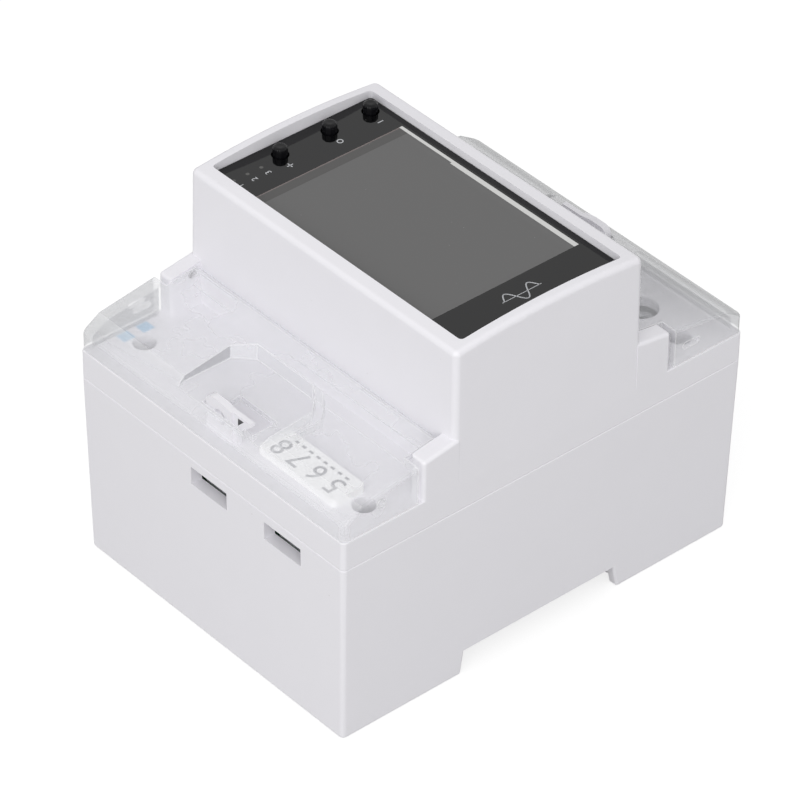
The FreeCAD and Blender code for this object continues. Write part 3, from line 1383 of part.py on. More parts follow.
def make_signal_sockets():
    """Two shrouded sockets on the signal board, each behind a slot of the end wall, and their pins."""
    pins = []
    places = {"signal_socket_1": slot_first_across, "signal_socket_2": slot_second_across}
    for name, across in places.items():
        half = S.socket_width / 2
        back = socket_face - S.socket_length
        shroud = block(name + "_shroud", (across - half, across + half), (back, socket_face),
                       (signal_board_top, signal_board_top + S.socket_height))
        half_mouth = S.slot_height / 2
        mouth = block(name + "_mouth", (across - half + S.socket_wall, across + half - S.socket_wall),
                      (socket_face - S.socket_depth, socket_face + S.cut_margin),
                      (S.slot_middle_height - half_mouth, S.slot_middle_height + half_mouth))
        ways = []
        for step in (-1, 0, 1):
            middle = across + S.pin_pitch * step
            thin = S.pin_side / 2
            level = (S.slot_middle_height - thin, S.slot_middle_height + thin)
            prong = block(f"{name}_prong_{step + 1}", (middle - thin, middle + thin),
                          (back - S.pin_bend, socket_face - S.pin_tip_inset), level)
            drop = block(f"{name}_drop_{step + 1}", (middle - thin, middle + thin),
                         (back - S.pin_bend, back - S.pin_bend + S.pin_side),
                         (signal_board_height - S.pin_tail, level[1]))
            pins.append(fuse(f"{name}_pin_{step + 1}", prong, drop))
            ways.append(block(f"{name}_way_{step + 1}", (middle - thin, middle + thin),
                              (back - S.cut_margin, socket_face - S.socket_depth + S.cut_margin), level))
        keep(name, cut(name + "_cut", shroud, mouth, *ways))
    keep("signal_pins", group("signal_pin_group", *pins))


def make_power_parts():
    """The supply on the main board: transformer, capacitors, surge part, fuse and clock battery."""
    across, half_w, half_l = transformer_across, S.transformer_width / 2, S.transformer_length / 2
    top = main_board_top + S.transformer_height
    core = block("core_block", (across - half_w, across + half_w), mirrored_span(half_l),
                 (main_board_top + S.core_gap, top))
    winding_span = (across - S.winding_width / 2, across + S.winding_width / 2)
    winding_level = (main_board_top + S.winding_start, top - S.winding_cover)
    room = block("core_room", winding_span, mirrored_span(half_l + S.cut_margin), winding_level)
    keep("transformer_core", cut("core_cut", core, room))
    coil = block("winding_block", winding_span, mirrored_span(half_l + S.winding_proud), winding_level)
    coil = rounded("winding_round", coil, (S.winding_round, lambda middle, run: runs_along("z", run)))
    near_end = half_l + S.winding_foot_start
    far_end = half_l + S.winding_proud - S.winding_foot_end
    feet = [block(f"winding_foot_{number}", winding_span, span,
                  (main_board_top, main_board_top + S.winding_start + S.overlap))
            for number, span in enumerate(((near_end, far_end), (-far_end, -near_end)), start=1)]
    keep("transformer_winding", fuse("winding_solid", coil, *feet))
    cans = []
    for step in range(2):
        spot = (S.capacitor_across + S.capacitor_pitch * step, S.capacitor_along, main_board_top)
        can = rod(f"can_{step}", "z", S.capacitor_radius, spot, S.capacitor_height)
        lid = main_board_top + S.capacitor_height
        cans.append(rounded(f"can_round_{step}", can,
                            (S.capacitor_round, lambda middle, run: near(middle.z, lid))))
    keep("supply_capacitors", group("capacitor_group", *cans))
    half_disc = S.varistor_thickness / 2
    disc = rod("varistor_disc", "y", S.varistor_radius,
               (varistor_across, S.varistor_along - half_disc,
                main_board_top + S.varistor_lift + S.varistor_radius), S.varistor_thickness)
    disc = rounded("varistor_round", disc, (S.varistor_round, closed_edge))
    legs = [rod(f"varistor_leg_{side + 1}", "z", S.varistor_leg_radius,
                (varistor_across + S.varistor_leg_across * side, S.varistor_along, main_board_top),
                S.varistor_leg_height) for side in (-1, 1)]
    keep("surge_varistor", fuse("varistor_solid", disc, *legs))
    fuse_body = block("fuse_block", (fuse_across - S.fuse_width / 2, fuse_across + S.fuse_width / 2),
                      (S.fuse_along - S.fuse_length / 2, S.fuse_along + S.fuse_length / 2),
                      (main_board_top, main_board_top + S.fuse_height))
    keep("input_fuse", rounded("fuse_round", fuse_body,
                               (S.fuse_round, lambda middle, run: runs_along("z", run))))
    battery = rod("battery_can", "z", S.battery_radius, (battery_across, S.battery_along, main_board_top),
                  S.battery_thickness)
    keep("clock_battery", rounded("battery_round", battery, (S.battery_round, closed_edge)))


def make_chips():
    """Flat packages on the main board: the metering chip and the controller."""
    chips = []
    low = main_board_top + S.chip_lift
    thin = S.lead_width / 2
    for name, side, x, y in (("meter_chip", S.meter_chip_side, S.meter_chip_across, S.meter_chip_along),
                             ("control_chip", S.control_chip_side, S.control_chip_across,
                              S.control_chip_along)):
        half = side / 2
        tip = half + S.lead_length
        body = block(name + "_body", (x - half, x + half), (y - half, y + half),
                     (low, low + S.chip_thickness))
        rows = [y + S.lead_pitch * step for step in range(-3, 4)]
        leads = [block(f"{name}_lead_{number}", (x - tip, x + tip), (row - thin, row + thin),
                       (main_board_top, main_board_top + S.lead_thickness))
                 for number, row in enumerate(rows, start=1)]
        chips.append(fuse(name, body, *leads))
    keep("board_chips", group("chip_group", *chips))


def make_radio():
    """The radio module on the signal board: its small board, aerial end and shielding can."""
    half_w, half_l = radio_width / 2, S.radio_length / 2
    low = signal_board_top
    plate = block("radio_plate", (radio_across - half_w, radio_across + half_w),
                  (radio_along - half_l, radio_along + half_l), (low, low + S.radio_thickness))
    can_half = half_w - S.radio_can_inset
    can = block("radio_can_block", (radio_across - can_half, radio_across + can_half),
                (radio_along - half_l + S.radio_can_inset,
                 radio_along + half_l - S.radio_aerial_length),
                (low + S.radio_thickness, low + S.radio_thickness + S.radio_can_height))
    keep("radio_board", plate)
    foot = low + S.radio_thickness
    keep("radio_can", rounded("radio_can_round", can,
                              (S.radio_can_round, lambda middle, run: not near(middle.z, foot))))


def make_links():
    """The pin header between the two lower boards, and the flat cable to the display board."""
    half = S.header_width / 2
    deep = S.header_depth / 2
    body = block("header_body", (S.header_across - half, S.header_across + half),
                 (header_along - deep, header_along + deep), (main_board_top, signal_board_height))
    keep("board_header", rounded("header_round", body,
                                 (S.header_round, lambda middle, run: runs_along("z", run))))
    plug_half, plug_deep = S.plug_width / 2, S.plug_depth / 2
    low_end = main_board_top + S.plug_floor
    high_end = display_board_bottom - S.plug_floor
    low_mouth = main_board_top + S.plug_height
    high_mouth = display_board_bottom - S.plug_height
    low_y, high_y = S.ribbon_low_along, S.ribbon_high_along
    thin = S.ribbon_thickness / 2
    slit_half = S.ribbon_width / 2
    plugs = []
    for name, along, level, slit_level in (
            ("low_plug", low_y, (main_board_top, low_mouth), (low_end, low_mouth + S.cut_margin)),
            ("high_plug", high_y, (high_mouth, display_board_bottom),
             (high_mouth - S.cut_margin, high_end))):
        shell = block(name, (ribbon_across - plug_half, ribbon_across + plug_half),
                      (along - plug_deep, along + plug_deep), level)
        slit = block(name + "_slit", (ribbon_across - slit_half, ribbon_across + slit_half),
                     (along - thin, along + thin), slit_level)
        plugs.append(cut(name + "_cut", shell, slit))
    keep("ribbon_sockets", group("socket_group", *plugs))
    path = [(low_y, low_end), (low_y, ribbon_bend_low), (high_y, ribbon_bend_high), (high_y, high_end)]
    outline = [(y - thin, z) for y, z in path] + [(y + thin, z) for y, z in reversed(path)]
    strip = prism("ribbon_strip", "YZ", outline, ribbon_across - slit_half, ribbon_across + slit_half)
    bends = (ribbon_bend_low, ribbon_bend_high)
    strip = rounded("ribbon_round", strip,
                    (S.ribbon_bend_radius, lambda middle, run: runs_along("x", run)
                     and any(near(middle.z, bend) for bend in bends)))
    keep("display_ribbon", strip)


def make_label():
    """The raised white label with the terminal numbers."""
    label = Body("terminal_label_body")
    outline = rectangle((-label_right, -label_left), (label_start, label_end))
    label.pad(label.sketch("XY", S.ledge_height, [outline]), S.label_thickness)
    label.round(S.label_corner, lambda middle, run: runs_along("z", run))
    keep("terminal_label", label.item)


def make_clip():
    """The sliding rail clip: flat plate, bevelled nose, pull slot and the slot that holds its spring."""
    clip = Body("rail_clip_body")
    nose = -channel_half + S.clip_nose_reach
    tail = -half_length + S.base_draft + S.clip_end_inset
    bottom = S.clip_height
    top = S.clip_height + S.clip_thickness
    eased = top - S.clip_relief
    section = [(tail, bottom), (nose - S.clip_nose_slope, bottom), (nose, top - S.clip_nose_edge),
               (nose, eased), (-channel_half - 2 * S.clip_relief, eased),
               (-channel_half - 4 * S.clip_relief, top), (tail, top)]
    half = S.clip_width / 2
    clip.pad(clip.sketch("YZ", -half, [section]), S.clip_width)
    clip.round(S.clip_tail_round, lambda middle, run: runs_along("z", run) and near(middle.y, tail))
    pull_start = tail + S.pull_bar_length
    pull = rectangle(mirrored_span(S.pull_slot_width / 2), (pull_start, pull_start + S.pull_slot_length))
    slot_end = spring_peg_start + S.spring_peg_length + S.spring_peg_gap
    room = rectangle(mirrored_span(S.spring_slot_width / 2), (-slot_end, -S.spring_start))
    clip.pocket(clip.sketch("XY", bottom - S.cut_margin, [pull, room]), S.clip_thickness + 2 * S.cut_margin)
    keep("rail_clip", clip.item)


def helix_wire(radius, length, turns, axis_height):
    """A spring line along minus Y, as pairs of tangent arcs for each quarter turn."""
    steps = turns * 4

    def at(turn):
        angle = 2 * math.pi * turn
        return FreeCAD.Vector(radius * math.cos(angle), -length * turn / turns,
                              axis_height + radius * math.sin(angle))

    def heading(turn):
        angle = 2 * math.pi * turn
        run = FreeCAD.Vector(-2 * math.pi * radius * math.sin(angle), -length / turns,
                             2 * math.pi * radius * math.cos(angle))
        return run.normalize()

    edges = []
    for step in range(steps):
        start, end = at(step / 4), at((step + 1) / 4)
        leave, arrive = heading(step / 4), heading((step + 1) / 4)
        edges.extend(two_arcs(start, leave, end, arrive))
    return Part.Wire(edges), [at(step / 24) for step in range(turns * 24 + 1)]


def two_arcs(start, leave, end, arrive):
    """Two arcs that meet on a common tangent and keep the directions at both ends."""
    gap = end - start
    both = leave + arrive
    bend = 2 * (1 - leave.dot(arrive))
    reach = (-gap.dot(both) + math.sqrt(gap.dot(both) ** 2 + bend * gap.dot(gap))) / bend
    meeting = (start + leave * reach + end - arrive * reach) * 0.5
    return [arc_from(start, leave, meeting), arc_from(end, -arrive, meeting).reversed()]


def arc_from(start, heading, end):
    """An arc from a point with a given heading to another point."""
    chord = end - start
    side = (heading - chord * (heading.dot(chord) / chord.dot(chord))).normalize()
    half_turn = heading.getAngle(chord)
    sagitta = chord.Length / 2 * math.tan(half_turn / 2)
    return Part.Arc(start, start + chord * 0.5 + side * sagitta, end).toShape()


def make_clip_spring():
    """The spring between the clip and the peg of the base, as one unbroken wire."""
    wire = float(S.spring_wire)
    radius = (float(S.spring_diameter) - wire) / 2
    length = float(S.spring_length) - 2 * float(S.spring_end_gap) - wire
    turns = 8
    axis_height = float(S.clip_height + S.clip_thickness / 2)
    path, points = helix_wire(radius, length, turns, axis_height)
    heading = (points[1] - points[0]).normalize()
    profile = Part.Wire(Part.makeCircle(wire / 2, points[0], heading))
    shell = Part.BRepOffsetAPI.MakePipeShell(path)
    shell.add(profile)
    shell.build()
    shell.makeSolid()
    least = min((one - other).Length for number, one in enumerate(points) for other in points[number + 12:])
    volume = shell.shape().Volume
    print(f"clip spring: least gap between turns {least - wire:.2f} mm, volume {volume:.2f} mm3")
    item = document.addObject("Part::Feature", "clip_spring_wire")
    item.Shape = shell.shape()
    start = -float(S.spring_start) - float(S.spring_end_gap) - wire / 2
    item.Placement = FreeCAD.Placement(FreeCAD.Vector(0, start, 0), FreeCAD.Rotation())
    keep("clip_spring", item)


def check_pieces():
    """Stop if any object of the document failed or any piece is not a sound solid."""
    document.recompute()
    for item in document.Objects:
        if "Invalid" in item.State or "Error" in item.State:
            raise ValueError(f"{item.Name} failed: {item.State}")
    for name, item in PIECES:
        if item.Shape.isNull() or not item.Shape.isValid() or not item.Shape.Solids:
            raise ValueError(f"{name} is not a valid solid")


def write_pieces():
    """Write each piece to its own file and print what it measures."""
    os.makedirs("parts", exist_ok=True)
    whole = FreeCAD.BoundBox()
    for name, item in PIECES:
        item.Shape.exportStep(f"parts/{name}.step")
        box = item.Shape.BoundBox
        whole.add(box)
        print(f"{name}: {len(item.Shape.Solids)} solid(s), {item.Shape.Volume:.1f} mm3, {extent(box)}")
    print(f"whole: {extent(whole)}")


def extent(box):
    """The three spans of a box as words."""
    return (f"x {box.XMin:.2f}..{box.XMax:.2f}, y {box.YMin:.2f}..{box.YMax:.2f}, "
            f"z {box.ZMin:.2f}..{box.ZMax:.2f}")


make_base_housing()
make_upper_housing()
make_cover("terminal_cover_upper", turned=False)
make_cover("terminal_cover_lower", turned=True)
make_panel()
make_display()
make_buttons()
make_switches()
make_lamps()
make_boards()
make_small_screws("display_board_screws", display_posts, display_board_bottom, downward=False)
make_small_screws("main_board_screws", four_corners(main_post_across, S.main_post_along),
                  main_board_top, downward=True)
make_small_screws("signal_board_screws", signal_post_places(), signal_board_top, downward=True)
make_housing_screws()
make_mains_terminals()
make_signal_sockets()
make_power_parts()
make_chips()
make_radio()
make_links()
make_label()
make_clip()
make_clip_spring()
check_pieces()
write_pieces()
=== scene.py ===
"""Looks of a rail-mounted energy meter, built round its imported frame.

X runs along the rail, Y up the wall, Z out of the wall. Sizes are in millimetres and the scene is in metres.
ROUND is the largest angle in degrees that still looks round, and SUNK is how far print starts under its face.
"""
import logging
import math
from dataclasses import dataclass, field
from enum import Enum
from typing import Any, Callable, Iterable, Sequence

import bmesh
import bpy
from mathutils import Matrix, Vector


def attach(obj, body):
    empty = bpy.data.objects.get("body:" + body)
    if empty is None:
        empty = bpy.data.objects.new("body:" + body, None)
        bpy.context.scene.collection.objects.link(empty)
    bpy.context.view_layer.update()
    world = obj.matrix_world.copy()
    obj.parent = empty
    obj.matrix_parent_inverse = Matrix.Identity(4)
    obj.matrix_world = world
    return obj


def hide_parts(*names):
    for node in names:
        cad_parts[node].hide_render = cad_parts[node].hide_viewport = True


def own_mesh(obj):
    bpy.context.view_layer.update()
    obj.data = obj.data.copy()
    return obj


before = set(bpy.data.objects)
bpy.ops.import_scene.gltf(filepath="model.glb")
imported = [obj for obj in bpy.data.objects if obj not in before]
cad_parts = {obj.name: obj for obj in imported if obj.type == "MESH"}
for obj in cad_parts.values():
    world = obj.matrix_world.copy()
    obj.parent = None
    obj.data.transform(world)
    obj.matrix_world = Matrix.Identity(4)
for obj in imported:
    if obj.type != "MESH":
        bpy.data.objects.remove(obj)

MM = 0.001
HULL = "meter"
LOG = logging.getLogger("meter_looks")
ROUND = 32.0
WHITE = (1.0, 1.0, 1.0, 1.0)
SUNK = 0.01
RING_SIDES = 32

Colour = tuple[float, float, float]
Point = tuple[float, float, float]
Place = tuple[float, float]
Material = bpy.types.Material
Socket = bpy.types.NodeSocket
Thing = bpy.types.Object
Nodes = tuple[tuple[str, tuple[str, ...]], ...]


def operator(operation: str, swapped: bool = False) -> Callable[["Value", "Value | float"], "Value"]:
    """Make an operator that adds one Math node.

    Args:
        operation: The node's operation.
        swapped: Whether the other number stands on the value's left.

    Returns:
        The operator, as a method of a value.
    """
    def apply(value: "Value", other: "Value | float") -> "Value":
        """Add the node."""
        return value.combine(operation, *((other, value) if swapped else (value, other)))
    return apply


class Value:
    """A number that varies over a surface: a shader socket on which sums add Math nodes."""

    def __init__(self, tree: "ShaderTree", socket: Socket) -> None:
        """Keep the socket and the tree that it belongs to."""
        self.tree = tree
        self.socket = socket

    def combine(self, operation: str, *terms: "Value | float") -> "Value":
        """Add one Math node of an operation, with its inputs in order."""
        made = self.tree.node("ShaderNodeMath", {"operation": operation}, dict(enumerate(terms)))
        return Value(self.tree, made.outputs[0])

    __add__, __radd__ = operator("ADD"), operator("ADD", True)
    __sub__, __rsub__ = operator("SUBTRACT"), operator("SUBTRACT", True)
    __mul__, __truediv__, __pow__ = operator("MULTIPLY"), operator("DIVIDE"), operator("POWER")
    __gt__, __lt__ = operator("GREATER_THAN"), operator("LESS_THAN")

    def fraction(self) -> "Value":
        """What is left above the next lower whole number."""
        return self.combine("FRACT", self)

    def ranged(self, start: float, end: float) -> "Value":
        """Run from one value to another while this runs from nought to one."""
        return self.spread(0.0, 1.0, start, end)

    def within(self, low: float, high: float) -> "Value":
        """One between two bounds, else nought."""
        return (self > low) * (self < high)

    def spread(self, low: float, high: float, start: float = 0.0, end: float = 1.0) -> "Value":
        """Take a range of values to another, and keep to it.

        Args:
            low: The value that becomes start.
            high: The value that becomes end.
            start: The result at low.
            end: The result at high.

        Returns:
            The new value.
        """
        bounds = {"From Min": low, "From Max": high, "To Min": start, "To Max": end}
        made = self.tree.node("ShaderNodeMapRange", {"clamp": True}, {"Value": self, **bounds})
        return Value(self.tree, made.outputs[0])


class NodeTree:
    """A node tree that is being made."""

    def __init__(self, tree: bpy.types.NodeTree) -> None:
        """Keep the tree."""
        self.tree = tree

    @staticmethod
    def _pick(sockets: Iterable[Socket], key: str | int) -> Socket:
        """Find a socket by its place, or by its name among those in use."""
        if isinstance(key, int):
            return list(sockets)[key]
        return next(socket for socket in sockets if socket.enabled and socket.name == key)

    def feed(self, socket: Socket, value: Any) -> None:
        """Link a value or socket to a socket, or set its number there.

        Args:
            socket: The socket that is fed.
            value: A value, a socket or what is set.
        """
        given = value.socket if isinstance(value, Value) else value
        if isinstance(given, Socket):
            self.tree.links.new(given, socket)
        else:
            socket.default_value = given

    def node(self, kind: str, settings: dict[str, Any] | None = None,
             sockets: dict[str | int, Any] | None = None) -> bpy.types.Node:
        """Add a node.

        Args:
            kind: The node's type.
            settings: Its settings, set first.
            sockets: Values or links of its sockets, by name or place.

        Returns:
            The node.
        """
        made = self.tree.nodes.new(kind)
        for name, setting in (settings or {}).items():
            setattr(made, name, setting)
        for key, value in (sockets or {}).items():
            self.feed(self._pick(made.inputs, key), value)
        return made


class ShaderTree(NodeTree):
    """The node tree of one material or world."""

    SPECK_CORE = 0.6
    BEND_START, BEND_END = 0.995, 0.9
    BEVEL_SAMPLES = 6

    def __init__(self, name: str, kind: str = "materials") -> None:
        """Make an empty material, or data of another kind, of that name."""
        self.owner = getattr(bpy.data, kind).new(name)
        self.owner.use_nodes = True
        super().__init__(self.owner.node_tree)
        self.tree.nodes.clear()

    def place(self, stretch: Point = (1.0, 1.0, 1.0)) -> Socket:
        """The place on the piece in millimetres, stretched along each axis."""
        where = self.node("ShaderNodeTexCoord").outputs["Object"]
        scale = tuple(part / MM for part in stretch)
        made = self.node("ShaderNodeMapping", {"vector_type": "POINT"}, {"Vector": where, "Scale": scale})
        return made.outputs[0]

    def axes(self) -> tuple[Value, Value, Value]:
        """The three coordinates of the place, in millimetres."""
        parts = self.node("ShaderNodeSeparateXYZ", {}, {0: self.place()})
        return tuple(Value(self, socket) for socket in parts.outputs)

    def noise(self, size: float, detail: float = 2.0, stretch: Point = (1.0, 1.0, 1.0)) -> Value:
        """Soft noise from nought to one: its size in millimetres, its finer layers, finer along some axes."""
        made = self.node("ShaderNodeTexNoise", {"noise_dimensions": "3D"},
                         {"Vector": self.place(stretch), "Scale": 1.0 / size, "Detail": detail})
        return Value(self, made.outputs[0])

    def clouds(self, size: float, detail: float, low: float = 0.3, high: float = 0.7) -> Value:
        """Soft noise of which all below one value is nought and all above another is one."""
        return self.noise(size, detail).spread(low, high)

    def specks(self, spacing: float, size: float) -> Value:
        """One on scattered round specks, else nought. Their size is a share of their spacing."""
        made = self.node("ShaderNodeTexVoronoi", {"feature": "F1"},
                         {"Vector": self.place(), "Scale": 1.0 / spacing, "Randomness": 1.0})
        return Value(self, made.outputs["Distance"]).spread(size, size * self.SPECK_CORE)

    def blend(self, share: Value | float, under: Any, over: Any) -> Socket:
        """Mix two colours.

        Args:
            share: How much of the second shows.
            under: The first colour.
            over: The second colour.

        Returns:
            The mixed colour.
        """
        colours = [(*part, 1.0) if isinstance(part, tuple) else part for part in (under, over)]
        made = self.node("ShaderNodeMix", {"data_type": "RGBA", "blend_type": "MIX"},
                         {"Factor": share, "A": colours[0], "B": colours[1]})
        return self._pick(made.outputs, "Result")

    def edges(self, width: float) -> Value:
        """One along edges and corners, nought on flat faces.

        Args:
            width: How far from an edge it begins, in millimetres.

        Returns:
            The mask.
        """
        bevel = self.node("ShaderNodeBevel", {"samples": self.BEVEL_SAMPLES}, {"Radius": width * MM})
        plain = self.node("ShaderNodeNewGeometry").outputs["True Normal"]
        same = self.node("ShaderNodeVectorMath", {"operation": "DOT_PRODUCT"},
                         {0: bevel.outputs[0], 1: plain})
        return Value(self, same.outputs["Value"]).spread(self.BEND_START, self.BEND_END)

    def relief(self, height: Value, depth: float) -> Socket:
        """Bumps from a height between nought and one, over a depth in millimetres."""
        bump = {"Height": height, "Distance": depth * MM, "Strength": 1.0}
        return self.node("ShaderNodeBump", {}, bump).outputs[0]

    def seen_plainly(self) -> Value:
        """One where the camera looks, straight or by gloss or through something clear, else nought."""
        path = self.node("ShaderNodeLightPath")
        camera, glossy, clear = (Value(self, path.outputs[f"Is {kind} Ray"])
                                 for kind in ("Camera", "Glossy", "Transmission"))
        return (camera + glossy + clear) > 0.5

    def either(self, share: Value, first: Socket,
               second: Socket) -> Socket:
        """Show the second shader where the share is one."""
        return self.node("ShaderNodeMixShader", {}, {0: share, 1: first, 2: second}).outputs[0]

    def finish(self, shader: Socket, end: str = "ShaderNodeOutputMaterial") -> Any:
        """Put the shader on the material or world."""
        self.node(end, {}, {"Surface": shader})
        return self.owner

    def coat(self, sockets: dict[str, Any]) -> Material:
        """Finish the material as one surface with those sockets."""
        return self.finish(self.node("ShaderNodeBsdfPrincipled", {}, sockets).outputs[0])


def tinted(colour: Colour, factor: float, lift: float = 0.0) -> Colour:
    """A colour with each part scaled and lifted."""
    return tuple(part * factor + lift for part in colour)


@dataclass(frozen=True)
class MouldedPlastic:
    """Moulded plastic: a barely mottled colour with a fine texture and a few specks."""

    name: str
    colour: Colour
    roughness: float = 0.42
    grain: float = 0.35
    depth: float = 0.004
    mottle: float = 0.02
    specks: float = 0.0
    speck_colour: Colour = (0.42, 0.38, 0.34)
    gloss: float = 0.5
    cloud_size: float = 11.0
    swing: float = 0.03
    grain_swing: float = 0.04
    speck_spacing: float = 7.0
    speck_size: float = 0.022

    def material(self) -> Material:
        """Make the material."""
        tree = ShaderTree(self.name)
        cloud = tree.clouds(self.cloud_size, 3.0, 0.35, 0.65)
        grain = tree.noise(self.grain)
        base = tree.blend(cloud, tinted(self.colour, 1.0 - self.mottle), self.colour)
        if self.specks:
            specks = tree.specks(self.speck_spacing, self.speck_size) * self.specks
            base = tree.blend(specks, base, self.speck_colour)
        rough = cloud.ranged(self.roughness - self.swing, self.roughness + self.swing)
        return tree.coat({"Base Color": base, "Roughness": rough + (grain - 0.5) * self.grain_swing,
                          "Specular IOR Level": self.gloss, "Normal": tree.relief(grain, self.depth)})


@dataclass(frozen=True)
class FrostedPlastic:
    """Clear plastic with a white haze, denser along its edges and where it is seen at a slant, and whiter
    along its edges as a painted highlight.
    """

    name: str
    colour: Colour = (0.755, 0.76, 0.78)
    edge_colour: Colour = (0.88, 0.885, 0.9)
    haze: float = 0.3
    slant_haze: float = 0.7
    edge_haze: float = 0.32
    edge_width: float = 0.45
    roughness: float = 0.14
    slant_power: float = 3.0
    paleness: float = 1.05
    rough_swing: Place = (-0.03, 0.04)
    haze_swing: float = 0.03
    refraction: float = 1.49
    cloud_size: float = 14.0
    grain: float = 0.5
    depth: float = 0.002

    def material(self) -> Material:
        """Make the material."""
        tree = ShaderTree(self.name)
        cloud = tree.clouds(self.cloud_size, 3.0)
        slant = Value(tree, tree.node("ShaderNodeLayerWeight", {}, {"Blend": 0.5}).outputs["Facing"])
        dense = (slant ** self.slant_power).ranged(self.haze, self.slant_haze)
        # The edge mask thickens the haze and blends in a whiter colour, a painted highlight along edges and
        # rounds.
        edge = tree.edges(self.edge_width)
        base = tree.blend(cloud, self.colour, tinted(self.colour, self.paleness))
        return tree.coat({
            "Base Color": tree.blend(edge, base, self.edge_colour),
            "Roughness": cloud.ranged(*(self.roughness + swing for swing in self.rough_swing)),
            "IOR": self.refraction, "Alpha": dense + (cloud - 0.5) * self.haze_swing + edge * self.edge_haze,
            "Normal": tree.relief(tree.noise(self.grain), self.depth)})


@dataclass(frozen=True)
class PrintedPanel:
    """Glossy acrylic, black on its back apart from the smoked window over the display, which has a band of
    painted shade along its high-x side.
    """

    name: str
    window_x: Place
    window_y: Place
    lamp_x: float
    lamps_y: tuple[float, ...]
    lamp_radius: float = 0.42
    lamp_blur: float = 0.12
    strip_step_x: float = 8.4
    strip_ends: Place = (-15.65, -16.0)
    # From here towards high x the window is painted darker: painted shade.
    band_start_x: float = 20.3
    line_start_x: float = 22.35
    smoke: float = 0.86
    gloss: float = 0.33
    black: Colour = (0.0025, 0.0025, 0.003)
    lamp_colour: Colour = (0.085, 0.083, 0.08)
    window_colour: Colour = (0.136, 0.135, 0.135)
    band_colour: Colour = (0.092, 0.09, 0.089)
    line_colour: Colour = (0.2, 0.165, 0.16)
    strip_colour: Colour = (0.62, 0.62, 0.61)
    dust_colour: Colour = (0.6, 0.6, 0.6)
    dust_share: float = 0.6
    dust: Place = (3.1, 0.02)
    scratch_size: float = 0.35
    scratch_stretch: Point = (0.06, 1.4, 1.0)
    sheen: Place = (0.045, 0.11)
    depth: float = 0.0006

    def _lamps(self, across: Value, along: Value) -> Value:
        """One on the lamps' spots, else nought."""
        away = [((across - self.lamp_x) ** 2 + (along - lamp_y) ** 2) ** 0.5 for lamp_y in self.lamps_y]
        return sum(part.spread(self.lamp_radius, self.lamp_radius - self.lamp_blur) for part in away)

    def material(self) -> Material:
        """Make the material."""
        tree = ShaderTree(self.name)
        across, along, _ = tree.axes()
        window = across.within(*self.window_x) * along.within(*self.window_y)
        strip = ((along < self.strip_ends[0]) * (across < self.strip_step_x)
                 + (along < self.strip_ends[1])).ranged(0.0, 1.0) * window
        scratches = tree.noise(self.scratch_size, 3.0, self.scratch_stretch).spread(0.62, 0.8)
        # The third layer is painted shade: a darker band along the window's high-x side.
        layers = ((self._lamps(across, along), self.lamp_colour), (window, self.window_colour),
                  (window * (across > self.band_start_x), self.band_colour),
                  (window * (across > self.line_start_x), self.line_colour), (strip, self.strip_colour),
                  (tree.specks(*self.dust) * self.dust_share, self.dust_colour))
        shade = self.black
        for share, colour in layers:
            shade = tree.blend(share, shade, colour)
        return tree.coat({
            "Base Color": shade, "Roughness": scratches.ranged(*self.sheen),
            "Normal": tree.relief(scratches, self.depth), "Specular IOR Level": self.gloss,
            "Alpha": 1.0 - (window - strip) * (1.0 - self.smoke)})


@dataclass(frozen=True)
class DisplayGlass:
    """An unlit grey display: almost even, with a little dust and a band of painted shade along one side."""

    name: str
    band_start_x: float
    band_blur: float = 0.15
    band_share: float = 0.35
    colour: Colour = (0.2, 0.198, 0.196)
    band_colour: Colour = (0.03, 0.03, 0.03)
    dust_colour: Colour = (0.75, 0.75, 0.75)
    cloud_size: float = 24.0
    paleness: float = 1.04
    dust: Place = (4.3, 0.02)
    sheen: Place = (0.22, 0.28)
    gloss: float = 0.3
    depth: float = 0.0005

    def material(self) -> Material:
        """Make the material."""
        tree = ShaderTree(self.name)
        cloud = tree.clouds(self.cloud_size, 1.0)
        # Painted shade: the display is darkened along its high-x side.
        shade_band = tree.axes()[0].spread(self.band_start_x, self.band_start_x + self.band_blur)
        shade = tree.blend(cloud, self.colour, tinted(self.colour, self.paleness))
        shade = tree.blend(shade_band * self.band_share, shade, self.band_colour)
        shade = tree.blend(tree.specks(*self.dust), shade, self.dust_colour)
        return tree.coat({"Base Color": shade, "Roughness": cloud.ranged(*self.sheen),
                          "Specular IOR Level": self.gloss, "Normal": tree.relief(cloud, self.depth)})


class MetalKind(Enum):
    """Bare metals of the inner parts."""

    ZINC = (0.62, 0.63, 0.64)
    COPPER = (0.72, 0.38, 0.22)
    TIN = (0.75, 0.75, 0.74)
    SPRING = (0.55, 0.56, 0.57)


@dataclass(frozen=True)
class BareMetal:
    """Bare metal with fine drawing lines, dull patches and small pits."""

    name: str
    kind: MetalKind
    roughness: float = 0.3
    stretch: Point = (1.0, 0.08, 1.0)
    line_size: float = 0.12
    patch_size: float = 2.5
    dullness: float = 0.72
    swing: Place = (-0.05, 0.14)
    line_swing: float = 0.1
    depth: float = 0.003

    def material(self) -> Material:
        """Make the material."""
        tree = ShaderTree(self.name)
        lines = tree.noise(self.line_size, 2.0, self.stretch)
        patches = tree.clouds(self.patch_size, 3.0, 0.4, 0.7)
        colour = self.kind.value
        rough = patches.ranged(*(self.roughness + swing for swing in self.swing))
        rough = rough + (lines - 0.5) * self.line_swing
        return tree.coat({"Base Color": tree.blend(patches, colour, tinted(colour, self.dullness)),
                          "Metallic": 1.0, "Roughness": rough, "Normal": tree.relief(lines, self.depth)})


